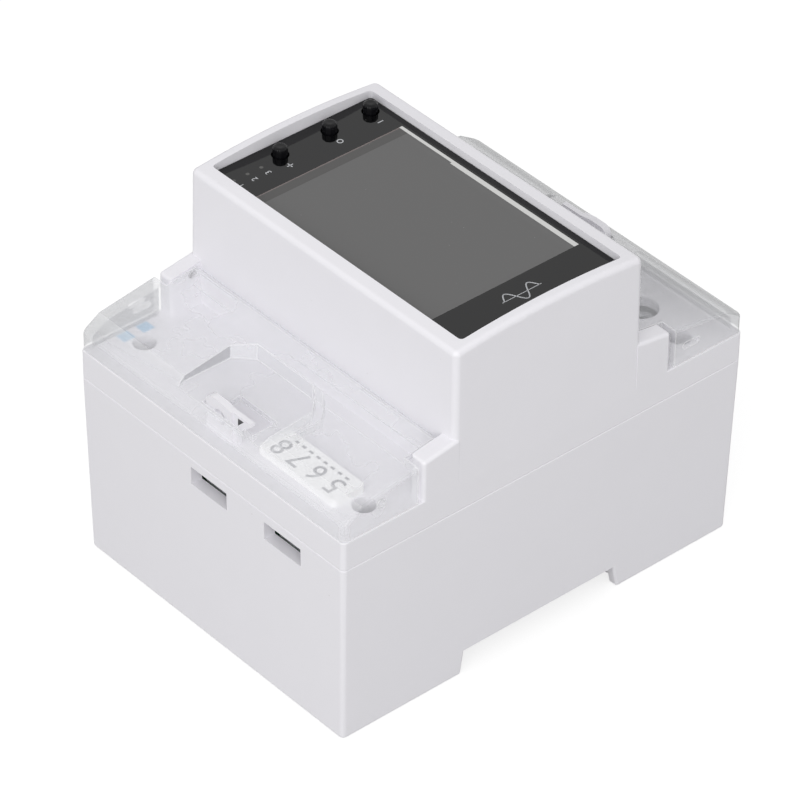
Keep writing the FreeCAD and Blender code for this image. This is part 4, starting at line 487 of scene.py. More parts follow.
@dataclass(frozen=True)
class LacqueredBoard:
    """Green board with copper tracks under its lacquer and pale solder pads."""

    name: str
    colour: Colour = (0.018, 0.115, 0.05)
    track_colour: Colour = (0.05, 0.22, 0.09)
    pad_colour: Colour = (0.6, 0.6, 0.57)
    pitch: float = 1.27
    pad_pitch: float = 2.54
    pad_size: float = 0.13
    wander: float = 3.0
    wander_size: float = 9.0
    run_size: float = 5.0
    track: Place = (0.2, 0.5)
    track_strength: float = 0.75
    roughness: float = 0.28
    pad_roughness: float = 0.1
    pad_metal: float = 0.9
    depth: float = 0.03

    def material(self) -> Material:
        """Make the material."""
        tree = ShaderTree(self.name)
        drift = tree.noise(self.wander_size, 0.0).spread(0.42, 0.58, -self.wander, self.wander)
        lane = ((tree.axes()[0] + drift) / self.pitch).fraction()
        track = lane.within(*self.track) * (tree.noise(self.run_size, 1.0) > 0.5)
        pads = tree.specks(self.pad_pitch, self.pad_size)
        shade = tree.blend(track * self.track_strength, self.colour, self.track_colour)
        return tree.coat({
            "Base Color": tree.blend(pads, shade, self.pad_colour),
            "Roughness": pads * self.pad_roughness + self.roughness, "Metallic": pads * self.pad_metal,
            "Normal": tree.relief(track * 0.5 + pads * 0.5, self.depth)})


@dataclass(frozen=True)
class WrappedFilm:
    """A film or sleeve wrapped round a part: lines at an even pitch, glossy between them."""

    name: str
    colour: Colour
    line_colour: Colour
    pitch: float
    axis: int
    share: float = 0.12
    line_strength: float = 0.85
    shade: float = 0.9
    cloud_size: float = 2.2
    sheen: Place = (0.28, 0.42)
    depth: float = 0.03

    def material(self) -> Material:
        """Make the material."""
        tree = ShaderTree(self.name)
        line = (tree.axes()[self.axis] / self.pitch).fraction() < self.share
        cloud = tree.clouds(self.cloud_size, 3.0)
        shade = tree.blend(cloud, tinted(self.colour, self.shade), self.colour)
        return tree.coat({"Base Color": tree.blend(line * self.line_strength, shade, self.line_colour),
                          "Roughness": cloud.ranged(*self.sheen),
                          "Normal": tree.relief(1.0 - line, self.depth)})


@dataclass(frozen=True)
class Ink:
    """Printed ink: an even colour with a slightly broken edge and a soft sheen."""

    name: str
    colour: Colour
    roughness: float = 0.5
    swing: float = 0.1
    wear_size: float = 0.3
    fading: float = 0.85
    fading_lift: float = 0.02

    def material(self) -> Material:
        """Make the material."""
        tree = ShaderTree(self.name)
        wear = tree.clouds(self.wear_size, 3.0)
        faded = tinted(self.colour, self.fading, self.fading_lift)
        return tree.coat({"Base Color": tree.blend(wear, faded, self.colour),
                          "Roughness": wear.ranged(self.roughness, self.roughness + self.swing)})


def make(kind: type, *values: Any, **named: Any) -> Any:
    """A field that holds the material of a finish of that kind and values."""
    return field(default_factory=lambda: kind(*values, **named).material())


@dataclass(frozen=True)
class Finishes:
    """The finishes of the whole meter, each made once."""

    housing: Material = make(MouldedPlastic, "housing_white", (0.80, 0.79, 0.825), 0.46, 0.3, 0.005, 0.012,
                             0.35)
    cover: Material = make(FrostedPlastic, "cover_frosted")
    cover_inside: Material = make(FrostedPlastic, "cover_smooth", haze=0.0, slant_haze=0.15, edge_haze=0.15)
    # Far walls, slopes and a pocket's side of the covers: denser haze, and a darker grey that is painted
    # shade.
    cover_walls: Material = make(FrostedPlastic, "cover_walls", (0.37, 0.375, 0.385), haze=0.55,
                                 slant_haze=0.75, edge_haze=0.2)
    panel: Material = make(PrintedPanel, "panel_black", (-24.3, 22.6), (-16.7, 18.2), 28.9,
                           (17.1, 13.95, 10.8))
    # The display's band of painted shade starts at x = 22.4.
    display: Material = make(DisplayGlass, "display_grey", 22.4)
    tray: Material = make(MouldedPlastic, "tray_white", (0.78, 0.785, 0.79), 0.5)
    key: Material = make(MouldedPlastic, "key_black", (0.004, 0.004, 0.005), 0.1, 0.2, 0.001, 0.1, gloss=0.2)
    switch: Material = make(MouldedPlastic, "switch_dark", (0.06, 0.06, 0.065), 0.4)
    clear: Material = make(FrostedPlastic, "clear_rod", (0.9, 0.91, 0.91), haze=0.45, slant_haze=0.7,
                           roughness=0.08)
    board: Material = make(LacqueredBoard, "board_green")
    zinc: Material = make(BareMetal, "zinc_plated", MetalKind.ZINC)
    copper: Material = make(BareMetal, "copper_bare", MetalKind.COPPER, 0.28, (0.08, 1.0, 1.0))
    tin: Material = make(BareMetal, "tin_plated", MetalKind.TIN, 0.24)
    spring: Material = make(BareMetal, "spring_drawn", MetalKind.SPRING, 0.25, (1.0, 1.0, 1.0))
    block: Material = make(MouldedPlastic, "block_charcoal", (0.085, 0.09, 0.1), 0.45, 0.3, 0.006, 0.05)
    ferrite: Material = make(MouldedPlastic, "core_grey", (0.045, 0.045, 0.05), 0.62, 0.15, 0.01, 0.2, 0.4,
                             (0.16, 0.15, 0.15))
    tape: Material = make(WrappedFilm, "tape_yellow", (0.72, 0.54, 0.07), (0.45, 0.32, 0.03), 2.2, 2)
    sleeve: Material = make(MouldedPlastic, "sleeve_navy", (0.018, 0.022, 0.055), 0.24, 0.5, 0.004, 0.1)
    varistor: Material = make(MouldedPlastic, "dip_blue", (0.03, 0.085, 0.3), 0.2, 1.1, 0.02, 0.12)
    chip: Material = make(MouldedPlastic, "chip_black", (0.022, 0.022, 0.024), 0.55, 0.12, 0.006, 0.1)
    film: Material = make(WrappedFilm, "ribbon_white", (0.78, 0.78, 0.76), (0.5, 0.42, 0.3), 1.0, 1, 0.55)
    label: Material = make(MouldedPlastic, "label_white", (0.93, 0.93, 0.93), 0.35, 0.4, 0.002)
    clip: Material = make(MouldedPlastic, "clip_black", (0.04, 0.04, 0.044), 0.38, 0.3, 0.005, 0.08)
    grey_ink: Material = make(Ink, "ink_grey", (0.36, 0.36, 0.38))
    blue_ink: Material = make(Ink, "ink_pale_blue", (0.42, 0.62, 0.80))
    silver_ink: Material = make(Ink, "ink_silver", (0.52, 0.53, 0.55), 0.3)
    dark_ink: Material = make(Ink, "ink_dark", (0.05, 0.05, 0.055))


def circle(radius: float, sides: int, centre: Place) -> list[Place]:
    """Points round a circle, in millimetres."""
    turns = [2.0 * math.pi * step / sides for step in range(sides)]
    return [(centre[0] + radius * math.cos(turn), centre[1] + radius * math.sin(turn)) for turn in turns]


def put(name: str, data: bpy.types.ID) -> Thing:
    """Make an object of its data and put it in the scene."""
    thing = bpy.data.objects.new(name, data)
    bpy.context.scene.collection.objects.link(thing)
    return thing


class Form:
    """A mesh being made. LEVEL is the least cosine between two faces of one flat region."""

    TURN = {"z": Matrix.Identity(4),
            "x": Matrix(((0, 0, 1, 0), (1, 0, 0, 0), (0, 1, 0, 0), (0, 0, 0, 1))),
            "y": Matrix(((1, 0, 0, 0), (0, 0, 1, 0), (0, 1, 0, 0), (0, 0, 0, 1)))}
    FONT_SIZE = 1.4
    FONT_STEPS = 3
    COPY_WELD, WELD = 2e-6, 1e-6
    LEVEL = 0.99996

    def __init__(self) -> None:
        """Start with nothing."""
        self.mesh = bmesh.new()

    @classmethod
    def copy_of(cls, node: str) -> "Form":
        """Start from a CAD node, with the points that lie on each other merged."""
        form = cls()
        form.mesh.from_mesh(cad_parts[node].data)
        bmesh.ops.remove_doubles(form.mesh, verts=form.mesh.verts, dist=cls.COPY_WELD)
        return form

    def add(self, points: list[Point], faces: list[list[int]], axis: str = "z") -> "Form":
        """Add points and faces.

        Args:
            points: The points, the third number of which runs along the axis.
            faces: The places of each face's corners among the points.
            axis: The axis.

        Returns:
            The form.
        """
        turn = self.TURN[axis]
        made = [self.mesh.verts.new(turn @ Vector(point) * MM) for point in points]
        for corners in faces:
            self.mesh.faces.new([made[corner] for corner in corners])
        return self

    def prism(self, outline: Sequence[Place], start: float, end: float, axis: str = "z") -> "Form":
        """Add a prism.

        Args:
            outline: Its outline: (x, y) along z, (y, z) along x, (x, z) along y.
            start: Where it starts along the axis.
            end: Where it ends.
            axis: The axis that it runs along.

        Returns:
            The form.
        """
        count = len(outline)
        points = [(u, v, start) for u, v in outline] + [(u, v, end) for u, v in outline]
        faces = [list(reversed(range(count))), list(range(count, 2 * count))]
        faces += [[step, (step + 1) % count, (step + 1) % count + count, step + count]
                  for step in range(count)]
        return self.add(points, faces, axis)

    def block(self, corner: Place, opposite: Place, start: float, end: float) -> "Form":
        """Add an upright block between two corners and two heights."""
        (x0, y0), (x1, y1) = corner, opposite
        return self.prism([(x0, y0), (x1, y0), (x1, y1), (x0, y1)], start, end)

    def lathe(self, profile: Sequence[Place], centre: Place, sides: int, flutes: int = 0,
              flute_depth: float = 0.0) -> "Form":
        """Turn a profile round an upright axis.

        Args:
            profile: Radius and height of each ring, from the bottom up, first and last closed by a face.
            centre: Where the axis stands.
            sides: How many sides each ring has.
            flutes: How many flutes run down its side.
            flute_depth: How deep they are.

        Returns:
            The form.
        """
        points = []
        for radius, height in profile:
            for step in range(sides):
                turn = 2.0 * math.pi * step / sides
                reach = radius - flute_depth * (0.5 - 0.5 * math.cos(flutes * turn)) * min(1.0, radius)
                points.append((centre[0] + reach * math.cos(turn), centre[1] + reach * math.sin(turn),
                               height))
        faces = [list(reversed(range(sides)))]
        for number in range(len(profile) - 1):
            low, high = number * sides, (number + 1) * sides
            faces += [[low + step, low + (step + 1) % sides, high + (step + 1) % sides, high + step]
                      for step in range(sides)]
        last = (len(profile) - 1) * sides
        faces.append(list(range(last, last + sides)))
        return self.add(points, faces)

    def text(self, words: str, height: float, centre: Place, level: float, thickness: float,
             turn: Matrix | None = None) -> "Form":
        """Add raised figures.

        Args:
            words: The figures.
            height: Their height.
            centre: Their middle.
            level: The height of the face that they stand on.
            thickness: How far they stand proud.
            turn: How they are turned before they are placed, or nothing for flat on a level face.

        Returns:
            The form.
        """
        curve = bpy.data.curves.new("figures", "FONT")
        curve.body = words
        curve.size = height * self.FONT_SIZE
        curve.align_x = curve.align_y = "CENTER"
        curve.resolution_u = self.FONT_STEPS
        curve.extrude = thickness / 2.0
        holder = put("figures", curve)
        flat = bpy.data.meshes.new_from_object(holder.evaluated_get(bpy.context.evaluated_depsgraph_get()))
        bpy.data.objects.remove(holder)
        bpy.data.curves.remove(curve)
        place = Matrix.Translation(Vector((centre[0], centre[1], level + thickness / 2.0)) * MM)
        flat.transform(place @ (turn or Matrix.Identity(4)) @ Matrix.Scale(MM, 4))
        flat.materials.clear()
        self.mesh.from_mesh(flat)
        bpy.data.meshes.remove(flat)
        return self

    def repaint(self, chosen: Callable[[bmesh.types.BMFace], bool], paint: int) -> "Form":
        """Give faces the material of another number.

        Args:
            chosen: Tells whether a face is one of them.
            paint: The number of the material.

        Returns:
            The form.
        """
        self.mesh.normal_update()
        for face in self.mesh.faces:
            if chosen(face):
                face.material_index = paint
        return self

    def loose(self, name: str) -> Thing:
        """Turn it into an object of the scene. The form is used up by it."""
        mesh = bpy.data.meshes.new(name)
        self.mesh.to_mesh(mesh)
        self.mesh.free()
        return put(name, mesh)

    def piece(self, name: str, materials: Sequence[Material], body: str = HULL, slot: str = "",
              stands_for: Sequence[str] = (), faces_out: bool = True) -> Thing:
        """Finish it as a piece of the meter.

        Args:
            name: The piece's name.
            materials: Its materials in the order of their numbers.
            body: The body that it rides on.
            slot: The record's material slot; not used.
            stands_for: The CAD nodes that it replaces.
            faces_out: Whether its faces are turned outwards here.

        Returns:
            The piece's object.
        """
        if faces_out:
            bmesh.ops.remove_doubles(self.mesh, verts=self.mesh.verts, dist=self.WELD)
            bmesh.ops.recalc_face_normals(self.mesh, faces=self.mesh.faces)
        corners = self._corner_normals(math.cos(math.radians(ROUND)))
        thing = self.loose(name)
        for material in materials:
            thing.data.materials.append(material)
        thing.data.polygons.foreach_set("use_smooth", [True] * len(thing.data.polygons))
        thing.data.normals_split_custom_set(corners)
        return register(thing, body, stands_for)

    def _flat_areas(self) -> list[float]:
        """For each face, the area of the flat region that it is part of."""
        areas = [0.0] * len(self.mesh.faces)
        for first in self.mesh.faces:
            if areas[first.index]:
                continue
            region, waiting = {first}, [first]
            while waiting:
                face = waiting.pop()
                beside = {other for edge in face.edges for other in edge.link_faces} - region
                flat = [other for other in beside if other.normal.dot(first.normal) > self.LEVEL]
                region.update(flat)
                waiting += flat
            whole = sum(face.calc_area() for face in region)
            for face in region:
                areas[face.index] = max(areas[face.index], whole, 1e-15)
        return areas

    def _corner_normals(self, least: float) -> list[Vector]:
        """A normal for each corner that keeps flat regions flat and turns smoothly over rounds.

        Args:
            least: The cosine of the largest angle between faces that still look round.

        Returns:
            The normals, in the order of the faces' corners.
        """
        self.mesh.normal_update()
        self.mesh.faces.ensure_lookup_table()
        self.mesh.faces.index_update()
        areas = self._flat_areas()
        corners = []
        for face in self.mesh.faces:
            own = face.normal
            for corner in face.loops:
                total = Vector((0.0, 0.0, 0.0))
                for other in corner.vert.link_faces:
                    if own.dot(other.normal) > least:
                        total += other.normal * areas[other.index]
                corners.append(total.normalized() if total.length_squared else own.copy())
        return corners


def settle(thing: Thing) -> None:
    """Turn an object's modifiers into a plain mesh."""
    seen = bpy.context.evaluated_depsgraph_get()
    made = bpy.data.meshes.new_from_object(thing.evaluated_get(seen), preserve_all_data_layers=True,
                                           depsgraph=seen)
    made.name = thing.name
    thing.modifiers.clear()
    thing.data = made


def register(thing: Thing, body: str, stands_for: Sequence[str]) -> Thing:
    """Make an object ride on its body and stand for its CAD nodes.

    Args:
        thing: The object.
        body: The body that it rides on.
        stands_for: The CAD nodes that it replaces, if any.

    Returns:
        The object.
    """
    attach(thing, body)
    if stands_for:
        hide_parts(*stands_for)
    LOG.info("%s rides on %s, %d faces", thing.name, body, len(thing.data.polygons))
    return thing


def dress(material: Material, *nodes: str) -> None:
    """Give CAD nodes a material without touching their meshes.

    Args:
        material: The material.
        nodes: The nodes' names.
    """
    for node in nodes:
        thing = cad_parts[node]
        thing.data.materials.clear()
        thing.data.materials.append(material)
        LOG.info("%s keeps its CAD form", node)


def recoat(node: str, name: str, material: Material, slot: str, body: str = HULL) -> None:
    """Put a copy of a CAD node in its place, with even normals and a material of its own."""
    Form.copy_of(node).piece(name, [material], body, slot, [node], faces_out=False)


class Growth(NodeTree):
    """A Geometry Nodes tree with named inputs."""

    def __init__(self, name: str) -> None:
        """Start a tree that gives a geometry."""
        super().__init__(bpy.data.node_groups.new(name, "GeometryNodeTree"))
        for way in ("INPUT", "OUTPUT"):
            self.tree.interface.new_socket("Geometry", in_out=way, socket_type="NodeSocketGeometry")
        self.entry = self.tree.nodes.new("NodeGroupInput")
        self.exit = self.tree.nodes.new("NodeGroupOutput")

    def size(self, name: str, kind: str = "NodeSocketFloat") -> Socket:
        """Add a named input and give its socket."""
        self.tree.interface.new_socket(name, in_out="INPUT", socket_type=kind)
        return self.entry.outputs[name]

    def finish(self, geometry: Socket) -> "Growth":
        """End the tree with real meshes in the material of its input."""
        material = self.size("Material", "NodeSocketMaterial")
        real = self.node("GeometryNodeRealizeInstances", {}, {"Geometry": geometry})
        painted = self.node("GeometryNodeSetMaterial", {},
                            {"Geometry": real.outputs[0], "Material": material})
        self.tree.links.new(painted.outputs[0], self.exit.inputs[0])
        return self

    def grow(self, thing: Thing, sizes: dict[str, Any]) -> Thing:
        """Grow a mesh on an object.

        Args:
            thing: The object, whose mesh is the tree's first geometry.
            sizes: The values of the named inputs.

        Returns:
            The object with the grown mesh.
        """
        modifier = thing.modifiers.new(self.tree.name, "NODES")
        modifier.node_group = self.tree
        for entry in self.tree.interface.items_tree:
            if entry.item_type == "SOCKET" and entry.in_out == "INPUT" and entry.name in sizes:
                modifier[entry.identifier] = sizes[entry.name]
        settle(thing)
        return thing


def make_row_growth() -> Growth:
    """A tree that repeats its first geometry along two directions."""
    growth = Growth("row_of_parts")
    shape = growth.entry.outputs["Geometry"]
    for count, step in (("Count", "Step"), ("Rows", "Row step")):
        line = growth.node("GeometryNodeMeshLine", {"mode": "OFFSET"},
                           {"Count": growth.size(count, "NodeSocketInt"),
                            "Offset": growth.size(step, "NodeSocketVector")})
        shape = growth.node("GeometryNodeInstanceOnPoints", {},
                            {"Points": line.outputs[0], "Instance": shape}).outputs[0]
    return growth.finish(shape)


def make_coil_growth() -> Growth:
    """A tree that winds a wire with closed ends round the Z axis, from z = 0 up."""
    growth = Growth("wound_wire")
    turns, radius, length, wire = (growth.size(name) for name in ("Turns", "Radius", "Length", "Wire radius"))
    spiral = growth.node("GeometryNodeCurveSpiral", {},
                         {"Resolution": 40, "Rotations": turns, "Start Radius": radius, "End Radius": radius,
                          "Height": length})
    section = growth.node("GeometryNodeCurvePrimitiveCircle", {"mode": "RADIUS"},
                          {"Resolution": 14, "Radius": wire})
    tube = growth.node("GeometryNodeCurveToMesh", {},
                       {"Curve": spiral.outputs[0], "Profile Curve": section.outputs[0], "Fill Caps": True})
    smooth = growth.node("GeometryNodeSetShadeSmooth", {}, {"Geometry": tube.outputs[0]})
    return growth.finish(smooth.outputs[0])


ROWS = make_row_growth()
COILS = make_coil_growth()


def row(name: str, unit: Form, material: Material, count: int, step: Point, rows: int = 1,
        row_step: Point = (0.0, 0.0, 0.0)) -> Thing:
    """Repeat a small form along one or two directions as one piece.

    Args:
        name: The piece's name.
        unit: The form in its first place.
        material: Its material.
        count: How many stand in a row.
        step: From one to the next, in millimetres.
        rows: How many rows there are.
        row_step: From one row to the next, in millimetres.

    Returns:
        The piece's object.
    """
    bmesh.ops.recalc_face_normals(unit.mesh, faces=unit.mesh.faces)
    thing = unit.loose(name)
    ROWS.grow(thing, {"Count": count, "Step": [part * MM for part in step], "Rows": rows,
                      "Row step": [part * MM for part in row_step], "Material": material})
    thing.data.polygons.foreach_set("use_smooth", [True] * len(thing.data.polygons))
    thing.data.set_sharp_from_angle(angle=math.radians(ROUND))
    return register(thing, HULL, ())


def stroke(points: Sequence[Place], width: float, overlap: float = 0.12) -> list[list[Place]]:
    """Give a line of points a width, as one outline for each of its runs.

    Args:
        points: The line.
        width: Its width.
        overlap: How far each outline goes on beyond its run, as a share of the width.

    Returns:
        The outlines.
    """
    outlines = []
    for (x0, y0), (x1, y1) in zip(points, points[1:]):
        share = width / math.hypot(x1 - x0, y1 - y0)
        dx, dy = (x1 - x0) * share, (y1 - y0) * share
        corners = ((x0, y0, -overlap, 0.5), (x0, y0, -overlap, -0.5),
                   (x1, y1, overlap, -0.5), (x1, y1, overlap, 0.5))
        outlines.append([(x + ahead * dx - aside * dy, y + ahead * dy + aside * dx)
                         for x, y, ahead, aside in corners])
    return outlines


def ring(form: Form, centre: Place, radius: float, width: float, start: float, end: float,
         axis: str = "z") -> Form:
    """Add a flat ring to a form, as short blocks side by side.

    Args:
        form: The form.
        centre: The ring's middle, in the two directions across the axis.
        radius: The middle of its width.
        width: Its width.
        start: Where it starts along the axis.
        end: Where it ends.
        axis: The axis.

    Returns:
        The form.
    """
    loops = [circle(radius + side * width / 2.0, RING_SIDES, centre) for side in (-1.0, 1.0)]
    points = [(u, v, level) for level in (start, end) for loop in loops for u, v in loop]
    faces = []
    for step in range(RING_SIDES):
        after = (step + 1) % RING_SIDES
        low = [step, after, RING_SIDES + after, RING_SIDES + step]
        high = [corner + 2 * RING_SIDES for corner in low]
        faces += [low[::-1], high, [low[0], low[1], high[1], high[0]], [low[2], low[3], high[3], high[2]]]
    return form.add(points, faces, axis)


class CadParts:
    """A sub-assembly whose nodes keep their CAD form. DRESS names a finish and the nodes that wear it."""

    DRESS: Nodes = ()

    def build(self, finishes: Finishes) -> None:
        """Dress the nodes."""
        for finish, nodes in self.DRESS:
            dress(getattr(finishes, finish), *nodes)


@dataclass
class Casing:
    """The lower and the upper housing with what is moulded or printed on them."""

    base_half: Place = (35.4, 46.0)
    seam_half: Place = (36.0, 46.8)
    seam_height: float = 38.7
    ledge_height: float = 44.8
    figure_height: float = 3.0
    figure_level: float = 31.2
    figure_thickness: float = 0.12
    clamp_places: tuple[float, ...] = (-19.2, -6.4, 6.4, 19.2)
    patch_place: Place = (33.6, 34.0)
    patch_half: float = 1.25
    patch_step: float = 4.4
    patch_levels: Place = (-0.02, 0.03)
    ring_place: Place = (-30.6, -22.0)
    ring_steps: Place = (61.2, 64.0)
    ring_radius: float = 1.6
    ring_width: float = 0.22
    ring_rise: float = 0.12
    arrow: tuple[Place, ...] = ((-3.63, 50.86), (-5.15, 50.9), (-3.61, 49.3))
    arrow_levels: Place = (43.1 - SUNK, 43.13)

    def build(self, finishes: Finishes) -> None:
        """Make both shells, the clamp figures and the small marks."""
        for node in ("base_housing", "upper_housing"):
            recoat(node, node + "_shell", finishes.housing, "housing_plastic")
        self._figures(finishes)
        self._patches(finishes)
        self._ejector_marks(finishes)
        self._arrows(finishes)

    def _figures(self, finishes: Finishes) -> None:
        """Raise a figure above each wire entry on the drafted lower end wall."""
        draft = (self.seam_half[1] - self.base_half[1]) / self.seam_height
        turn = Matrix.Rotation(math.radians(90.0) + math.atan(draft), 4, "X")
        reach = self.base_half[1] + draft * self.figure_level
        form = Form()
        for number, across in enumerate(self.clamp_places, start=1):
            form.text(str(number), self.figure_height, (across, -reach),
                      self.figure_level - self.figure_thickness / 2.0, self.figure_thickness, turn)
        form.piece("clamp_figures", [finishes.grey_ink], slot="housing_plastic")

    def _patches(self, finishes: Finishes) -> None:
        """Print two pale patches on the ledge."""
        (x, y), half = self.patch_place, self.patch_half
        unit = Form().block((x - half, y - half), (x + half, y + half),
                            *(self.ledge_height + level for level in self.patch_levels))
        row("ledge_patches", unit, finishes.blue_ink, 2, (0.0, self.patch_step, 0.0))

    def _ejector_marks(self, finishes: Finishes) -> None:
        """Leave the rings of the mould's ejectors on the underside."""
        unit = ring(Form(), self.ring_place, self.ring_radius, self.ring_width, 0.0, self.ring_rise)
        across, along = self.ring_steps
        row("ejector_rings", unit, finishes.housing, 2, (across, 0.0, 0.0), 2, (0.0, along, 0.0))

    def _arrows(self, finishes: Finishes) -> None:
        """Print the black arrow on the tip of each sealing lug."""
        form = Form()
        for side in (1.0, -1.0):
            form.prism([(across * side, height) for across, height in self.arrow],
                       *(side * level for level in self.arrow_levels), "y")
        form.piece("lug_arrows", [finishes.dark_ink], slot="housing_plastic")


@dataclass
class TerminalCovers:
    """The two hinged covers over the terminals."""

    ring_place: Place = (37.0, 47.8)
    ring_radius: float = 0.8
    ring_width: float = 0.3
    ring_reach: Place = (0.05, -0.35)
    wall_face: float = 34.5
    end_face: float = 45.3
    slope_start: float = -41.5
    pocket_middle: float = 8.0
    slack: float = 0.2
    tilt: float = 0.3
    steep: float = 0.5
    square_on: float = 0.8

    def build(self, finishes: Finishes) -> None:
        """Make both covers, each with the small ring inside its end wall."""
        paints = [finishes.cover, finishes.cover_inside, finishes.cover_walls]
        for side, name in ((1.0, "upper"), (-1.0, "lower")):
            cover = Form.copy_of(f"terminal_cover_{name}")
            # Faces seen in shade take the third material, whose darker grey is painted shade.
            cover.repaint(self._is_inside, 1).repaint(self._is_dense, 2)
            shell = cover.piece(f"cover_{name}_shell", paints, f"cover_{name}", "frosted_cover",
                                [f"terminal_cover_{name}"], faces_out=False)
            shell.visible_shadow = False
            bead = ring(Form(), (self.ring_place[0] * side, self.ring_place[1]), self.ring_radius,
                        self.ring_width, *(-side * (self.wall_face + reach) for reach in self.ring_reach),
                        "x")
            bead.piece(f"cover_{name}_ring", [finishes.cover], f"cover_{name}", "frosted_cover")

    def _is_dense(self, face: bmesh.types.BMFace) -> bool:
        """Whether a face of a cover has the denser haze and the darker grey of painted shade, as far walls,
        slopes and a pocket's side have.
        """
        middle, facing = face.calc_center_median() / MM, face.normal
        wall = abs(facing.x) > self.steep and middle.x > self.wall_face - self.slack
        pocket_side = facing.x < -self.square_on and middle.x > self.pocket_middle
        return wall or pocket_side or (self.tilt < abs(facing.y) and middle.y < self.slope_start)

    def _is_inside(self, face: bmesh.types.BMFace) -> bool:
        """Whether a face of a cover is on its smooth inner side."""
        middle, facing = face.calc_center_median() / MM, face.normal
        return facing.z < -self.tilt or any(
            abs(place) > wall - self.slack and turned * place < -self.tilt * abs(place)
            for place, turned, wall in ((middle.x, facing.x, self.wall_face),
                                        (middle.y, facing.y, self.end_face)))


@dataclass
class DisplayWindow(CadParts):
    """The black panel, the display behind it and what is printed beside the keys and lamps."""

    DRESS = (("display", ("display_glass",)), ("tray", ("display_light_tray",)))

    face: float = 71.6
    print_thickness: float = 0.03
    key_marks: tuple[Place, ...] = ((26.1, 6.5), (26.1, -5.1), (26.1, -14.6))
    mark_size: float = 0.62
    mark_width: float = 0.2
    ring_share: float = 0.85
    lamp_figures: tuple[Place, ...] = ((26.9, 17.1), (26.9, 13.95), (26.9, 10.8))
    figure_height: float = 1.25
    wave_start: float = -3.6
    wave_length: float = 8.0
    wave_middle: float = -28.6
    wave_reach: float = 1.7
    wave_turns: float = 1.5
    wave_runs: int = 36
    wave_width: float = 0.24
    line_width: float = 0.12
    line_overrun: float = 0.5

    def build(self, finishes: Finishes) -> None:
        """Make the panel's copy, dress the display and print the marks."""
        recoat("display_panel", "panel_face", finishes.panel, "panel_acrylic")
        super().build(finishes)
        self._marks(finishes)

    def _wave(self) -> list[Place]:
        """The points of the wave for the mains."""
        parts = [part / self.wave_runs for part in range(self.wave_runs + 1)]
        return [(self.wave_middle + self.wave_reach * math.sin(2.0 * math.pi * self.wave_turns * part),
                 self.wave_start + self.wave_length * part) for part in parts]

    def _marks(self, finishes: Finishes) -> None:
        """Print the keys' signs, the lamps' figures and the wave with its line."""
        low, high = self.face - SUNK, self.face + self.print_thickness
        size, middle = self.mark_size, self.wave_middle
        plus, menu, minus = self.key_marks
        lines = [stroke([(plus[0] - size, plus[1]), (plus[0] + size, plus[1])], self.mark_width)]
        lines += [stroke([(x, y - size), (x, y + size)], self.mark_width) for x, y in (plus, minus)]
        lines += [stroke(self._wave(), self.wave_width),
                  stroke([(middle, self.wave_start - self.line_overrun),
                          (middle, self.wave_start + self.wave_length + self.line_overrun)], self.line_width)]
        form = Form()
        for outline in sum(lines, []):
            form.prism(outline, low, high)
        ring(form, menu, size * self.ring_share, self.mark_width, low, high)
        for number, place in enumerate(self.lamp_figures, start=1):
            form.text(str(number), self.figure_height, place, low, high - low)
        form.piece("panel_print", [finishes.silver_ink], slot="panel_acrylic")


@dataclass
class Keys(CadParts):
    """The three push keys with their plungers and switches."""

    DRESS = (("switch", ("switch_plunger_plus", "switch_plunger_menu", "switch_plunger_minus",
                         "tact_switches")),)

    across: float = 29.8
    places: tuple[tuple[str, float], ...] = (("plus", 5.7), ("menu", -5.8), ("minus", -15.4))
    foot: float = 67.3
    top: float = 73.5
    collar: Place = (69.2, 69.9)
    collar_radius: float = 2.1
    collar_bevel: float = 0.12
    radius: float = 1.45
    crown: tuple[Place, ...] = ((0.0, 71.2), (0.0, 72.4), (0.01, 72.9), (0.1, 73.22), (0.3, 73.4))
    dish: tuple[Place, ...] = ((0.9, 0.0), (0.45, 0.04), (0.2, 0.06))
    sides: int = 60
    flutes: int = 10
    flute_depth: float = 0.07

    def build(self, finishes: Finishes) -> None:
        """Turn the keys and dress what they press."""
        low, high = self.collar
        wide, bevel = self.collar_radius, self.collar_bevel
        profile = [(self.radius, self.foot), (self.radius, low), (wide, low), (wide, high - bevel),
                   (wide - bevel, high), (self.radius, high)]
        profile += [(self.radius - inset, height) for inset, height in self.crown]
        profile += [(radius, self.top - depth) for radius, depth in self.dish]
        for name, along in self.places:
            key = Form().lathe(profile, (self.across, along), self.sides, self.flutes, self.flute_depth)
            key.piece(f"key_{name}", [finishes.key], f"{name}_key", "button_plastic", [f"button_{name}"])
        super().build(finishes)


class StatusLamps(CadParts):
    """The lamps under the panel and the clear rods that lead their light."""

    DRESS = (("clear", ("light_pipe", "indicator_lamps")),)


@dataclass
class TerminalLabel:
    """The label under the upper cover."""

    top: float = 46.4
    middle: Place = (-17.2, 38.6)
    words: str = "5 6 7 8"
    figure_height: float = 4.3
    print_thickness: float = 0.05
    tick_start: Place = (-24.6, 35.6)
    tick_size: Place = (0.9, 0.5)
    tick_step: float = 1.9
    tick_count: int = 8

    def build(self, finishes: Finishes) -> None:
        """Dress the label and print its figures and ticks."""
        recoat("terminal_label", "label_plate", finishes.label, "label_plastic")
        low = self.top - SUNK
        form = Form().text(self.words, self.figure_height, self.middle, low, self.print_thickness)
        form.piece("label_figures", [finishes.grey_ink], slot="label_plastic")
        (x, y), (width, depth) = self.tick_start, self.tick_size
        unit = Form().block((x, y), (x + width, y + depth), low, low + self.print_thickness)
        row("label_ticks", unit, finishes.grey_ink, self.tick_count, (self.tick_step, 0.0, 0.0))


